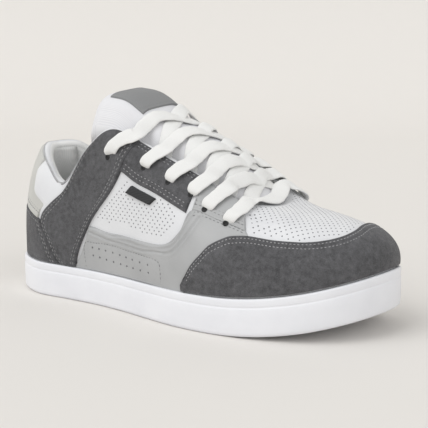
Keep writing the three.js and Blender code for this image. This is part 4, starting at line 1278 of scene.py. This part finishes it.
def ribbonPiece(name, frames, node, seed=0):
    knots = np.array([np.concatenate(f) for f in frames])
    walked = np.concatenate([[0], np.cumsum(np.linalg.norm(np.diff(knots[:, :3], axis=0), axis=1))])
    share = np.linspace(0, 1, laces["samples"]) * walked[-1]
    path = openCurve(knots, walked, share)
    centre, side, upward = path[:, :3], path[:, 3:6], unit(path[:, 6:9])
    half = np.linalg.norm(side, axis=1, keepdims=True)
    tangent = unit(np.gradient(centre, axis=0))
    side = unit(side - tangent * (side * tangent).sum(1, keepdims=True))
    normal = unit(np.cross(tangent, side))
    normal *= np.sign((normal * upward).sum(1, keepdims=True))
    wave = 1 + sum(size * np.sin(share[:, None] * pace + seed * turn) for size, pace, turn in laces["wave"])
    turns = np.linspace(0, math.tau, laces["sides"], endpoint=False)
    powerX, powerY = laces["corner"]
    flatX = np.sign(np.cos(turns)) * np.abs(np.cos(turns)) ** powerX
    flatY = np.sign(np.sin(turns)) * np.abs(np.sin(turns)) ** powerY
    thick = flatY * laces["thickness"] / 2 + laces["crown"] * (1 - flatX ** 2)
    ring = (centre[:, None] + (side * half * wave)[:, None] * flatX[None, :, None]
            + normal[:, None] * thick[None, :, None])
    faces = gridFaces(len(share), len(turns), closedColumns=True).tolist()
    faces += [[start + k for k in range(len(turns))] for start in (0, (len(share) - 1) * len(turns))]
    uv = np.stack(np.broadcast_arrays(flatX[None] * laces["width"] / 2, share[:, None]), -1)
    makePiece(name, ring, faces, [laceCotton], "white_lace", [node], uv=uv)


def lacePath(row, outer):
    own = throatEdge(row, outer)
    far = throatEdge(row + 1, not outer)
    stop = (abs(far[1]) - laces["tuck"]) / abs(far[1])
    frames = fingerFrames(row, outer)
    for share in (*laces["marks"], -stop):
        y = (own[1] if share >= 0 else -far[1]) * share
        x = far[0] + (own[0] - far[0]) * (share + 1) / 2
        height = laces["clear"] + laces["step"] * float(ease(share, -0.1, 0.35))
        if outer:
            height += laces["over"][0] * math.exp(-(share / laces["over"][1]) ** 2)
        frames.append(bridgeFrame(x, y, height))
    return taut(frames, 6)


def taut(frames, place):  # the band spans from the throat edge to the tongue without dipping
    start, end = frames[place - 1][0], frames[place + 2][0]
    span = np.hypot(*(end - start)[:2])
    for k in (place, place + 1):
        share = np.hypot(*(frames[k][0] - start)[:2]) / span
        frames[k][0][2] = max(frames[k][0][2], start[2] + (end[2] - start[2]) * share)
    return frames


def barPath():  # the last band bows to the toe over the front of the throat
    row = len(laces["eyelets"]) - 1
    own, far = throatEdge(row, True), throatEdge(row, False)
    crest = float(skin(0.5, 1.0)[2])
    half = 0.5 * laces["width"]
    frames = fingerFrames(row, True, laces["barLift"])
    for share in laces["marks"]:
        edge = own if share >= 0 else far
        x = float(far[0] + (own[0] - far[0]) * (share + 1) / 2 + laces["barBow"] * (1 - share ** 2))
        y = float(abs(share) * edge[1])
        level = crest + float(edge[2] - crest) * share ** 2
        rear = max(float(tongueTop(x - half, y)), level)
        front = max(float(tongueTop(x + half, y)), level)
        rise = laces["barRise"][0 if share > 0 else 1] * laces["step"]
        height = laces["barClear"] + rise * float(ease(abs(share), 0.1, 0.9))
        side = unit(np.array([2 * half, 0.0, front - rear]))
        centre = np.array([x, y, (rear + front) / 2 + height])
        frames.append((centre, side * laces["barWidth"] * half, np.array([-side[2], 0.0, side[0]])))
    return frames + list(reversed(fingerFrames(row, False)))


for row in range(len(laces["eyelets"]) - 1):
    node = f"lace_crossing_{row + 1}"
    ribbonPiece(f"laceOver{row + 1}Outer", lacePath(row, True), node, seed=row)
    ribbonPiece(f"laceOver{row + 1}Inner", lacePath(row, False), node, seed=row + 9)
ribbonPiece("laceBar", barPath(), "lace_bar", seed=20)
print("laces made")


# Eyelets: black rings, each with a black disc across its hole as painted shade, just below where each band
# comes up
eyelets = {"radius": 1.5, "rim": 0.55, "drop": 0.15, "turns": 28, "tube": 10,
           "flat": 0.8, "lift": 0.1, "sunk": 0.3}


def eyeletPiece(name, row, outer, top):
    u, s = lacePlace(row, outer, -eyelets["drop"])
    centre = raised(u, s, top)
    normal = skinNormal(u, s)
    first, second = flatAxes(normal)
    turns = np.linspace(0, math.tau, eyelets["turns"], endpoint=False)
    tube = np.linspace(0, math.tau, eyelets["tube"], endpoint=False)
    spoke = np.cos(turns)[:, None] * first + np.sin(turns)[:, None] * second
    loops = centre + spoke[:, None] * (eyelets["radius"] + eyelets["rim"] * np.cos(tube))[None, :, None]
    loops = loops + normal * (eyelets["rim"] * np.sin(tube) * eyelets["flat"])[None, :, None]
    faces = gridFaces(len(turns), len(tube), closedRows=True, closedColumns=True).tolist()
    faces += discFaces(len(turns), len(turns) * len(tube))
    # painted shade: a black disc across the hole stands in for its shaded hollow
    disc = centre + spoke * eyelets["radius"]
    points = [loops.reshape(-1, 3), disc + normal * eyelets["lift"], disc - normal * eyelets["sunk"]]
    points = np.concatenate(points)
    makePiece(name, points, faces, [eyeletBlackAndHoleShade], "dark_label")


for row in range(len(laces["eyelets"])):
    top = panelHeights["strap" if row == 0 else "mid" if row < 4 else "lower"]
    eyeletPiece(f"eyelet{row + 1}Outer", row, True, top)
    eyeletPiece(f"eyelet{row + 1}Inner", row, False, top)
print("eyelets made")


# Floor, light and camera
view = {
    "azimuth": math.radians(35.38),
    "elevation": math.radians(10.8),
    "distance": 789.2,
    "target": (150.0, 0.0, 50.0),
    "focal": 827.7,
    "principal": (153.25, 218.6),
    "shoeCentre": (166.2, 203.2),
    "photoWidth": 428,
    "closer": 1.35,
    "sensor": 36.0,
}


def makeCamera():
    azimuth, elevation = view["azimuth"], view["elevation"]
    back = np.array([math.sin(azimuth) * math.cos(elevation), -math.cos(azimuth) * math.cos(elevation),
                     math.sin(elevation)])
    right = np.array([math.cos(azimuth), math.sin(azimuth), 0.0])
    up = np.cross(back, right)
    eye = np.array(view["target"]) + back * view["distance"]
    aim = (-back * view["focal"] + right * (view["shoeCentre"][0] - view["principal"][0])
           + up * (view["principal"][1] - view["shoeCentre"][1]))
    camera = bpy.data.objects.new("camera", bpy.data.cameras.new("camera"))
    bpy.context.scene.collection.objects.link(camera)
    camera.location = Vector(toFrame(eye)[0])
    camera.rotation_mode = "QUATERNION"
    camera.rotation_quaternion = Vector(aim).to_track_quat("-Z", "Y")
    camera.data.sensor_width = view["sensor"]
    camera.data.lens = view["focal"] / view["photoWidth"] * view["sensor"] * view["closer"]
    camera.data.clip_start = 0.05
    camera.data.clip_end = 20
    bpy.context.scene.camera = camera


studio = {
    "floorColour": linear(229, 226, 222),
    "world": linear(234, 234, 233),
    "worldStrength": 0.72,
    "lights": [  # name, direction that it shines from, softness in degrees, strength
        ("key", (-0.35, -0.85, 1.0), 50.0, 1.15),
        ("toeSide", (0.9, -0.35, 0.6), 40.0, 0.40),
        ("heelTop", (-0.55, -0.1, 0.9), 50.0, 0.25),
    ],
    "floor": {"near": 3.0, "far": 1.2, "bend": 0.8, "wall": 3.0, "half": 4.0},  # metres
}


def makeStudio():
    world = bpy.data.worlds.new("studio")
    world.use_nodes = True
    world.node_tree.nodes["Background"].inputs["Color"].default_value = studio["world"]
    world.node_tree.nodes["Background"].inputs["Strength"].default_value = studio["worldStrength"]
    bpy.context.scene.world = world
    rows = []
    azimuth = view["azimuth"]
    away = np.array([-math.sin(azimuth), math.cos(azimuth)])
    sideways = np.array([math.cos(azimuth), math.sin(azimuth)])
    size = studio["floor"]
    sweep = [(-size["near"], 0.0)]
    for turn in np.linspace(0, math.pi / 2, 16):
        sweep.append((size["far"] + size["bend"] * math.sin(turn), size["bend"] * (1 - math.cos(turn))))
    sweep.append((size["far"] + size["bend"], size["wall"]))
    for depth, height in sweep:
        for lateral in (-size["half"], size["half"]):
            spot = away * depth + sideways * lateral
            rows.append((spot[0], spot[1], height))
    mesh = bpy.data.meshes.new("floorSweep")
    faces = [[2 * k, 2 * k + 1, 2 * k + 3, 2 * k + 2] for k in range(len(sweep) - 1)]
    mesh.from_pydata(rows, [], faces)
    mesh.polygons.foreach_set("use_smooth", np.ones(len(faces), bool))
    floor = bpy.data.objects.new("floorSweep", mesh)
    bpy.context.scene.collection.objects.link(floor)
    paper = bpy.data.materials.new("floorPaper")
    paper.use_nodes = True
    shader = paper.node_tree.nodes["Principled BSDF"]
    shader.inputs["Base Color"].default_value = studio["floorColour"]
    shader.inputs["Roughness"].default_value = 0.9
    shader.inputs["Specular IOR Level"].default_value = 0.1
    mesh.materials.append(paper)
    for name, source, softness, strength in studio["lights"]:
        data = bpy.data.lights.new(name, "SUN")
        data.angle = math.radians(softness)
        data.energy = strength
        lamp = bpy.data.objects.new(name, data)
        lamp.rotation_mode = "QUATERNION"
        lamp.rotation_quaternion = (-Vector(source)).to_track_quat("-Z", "Y")
        bpy.context.scene.collection.objects.link(lamp)


bpy.context.scene.view_settings.view_transform = "Standard"
makeCamera()
makeStudio()
print("camera and light made")
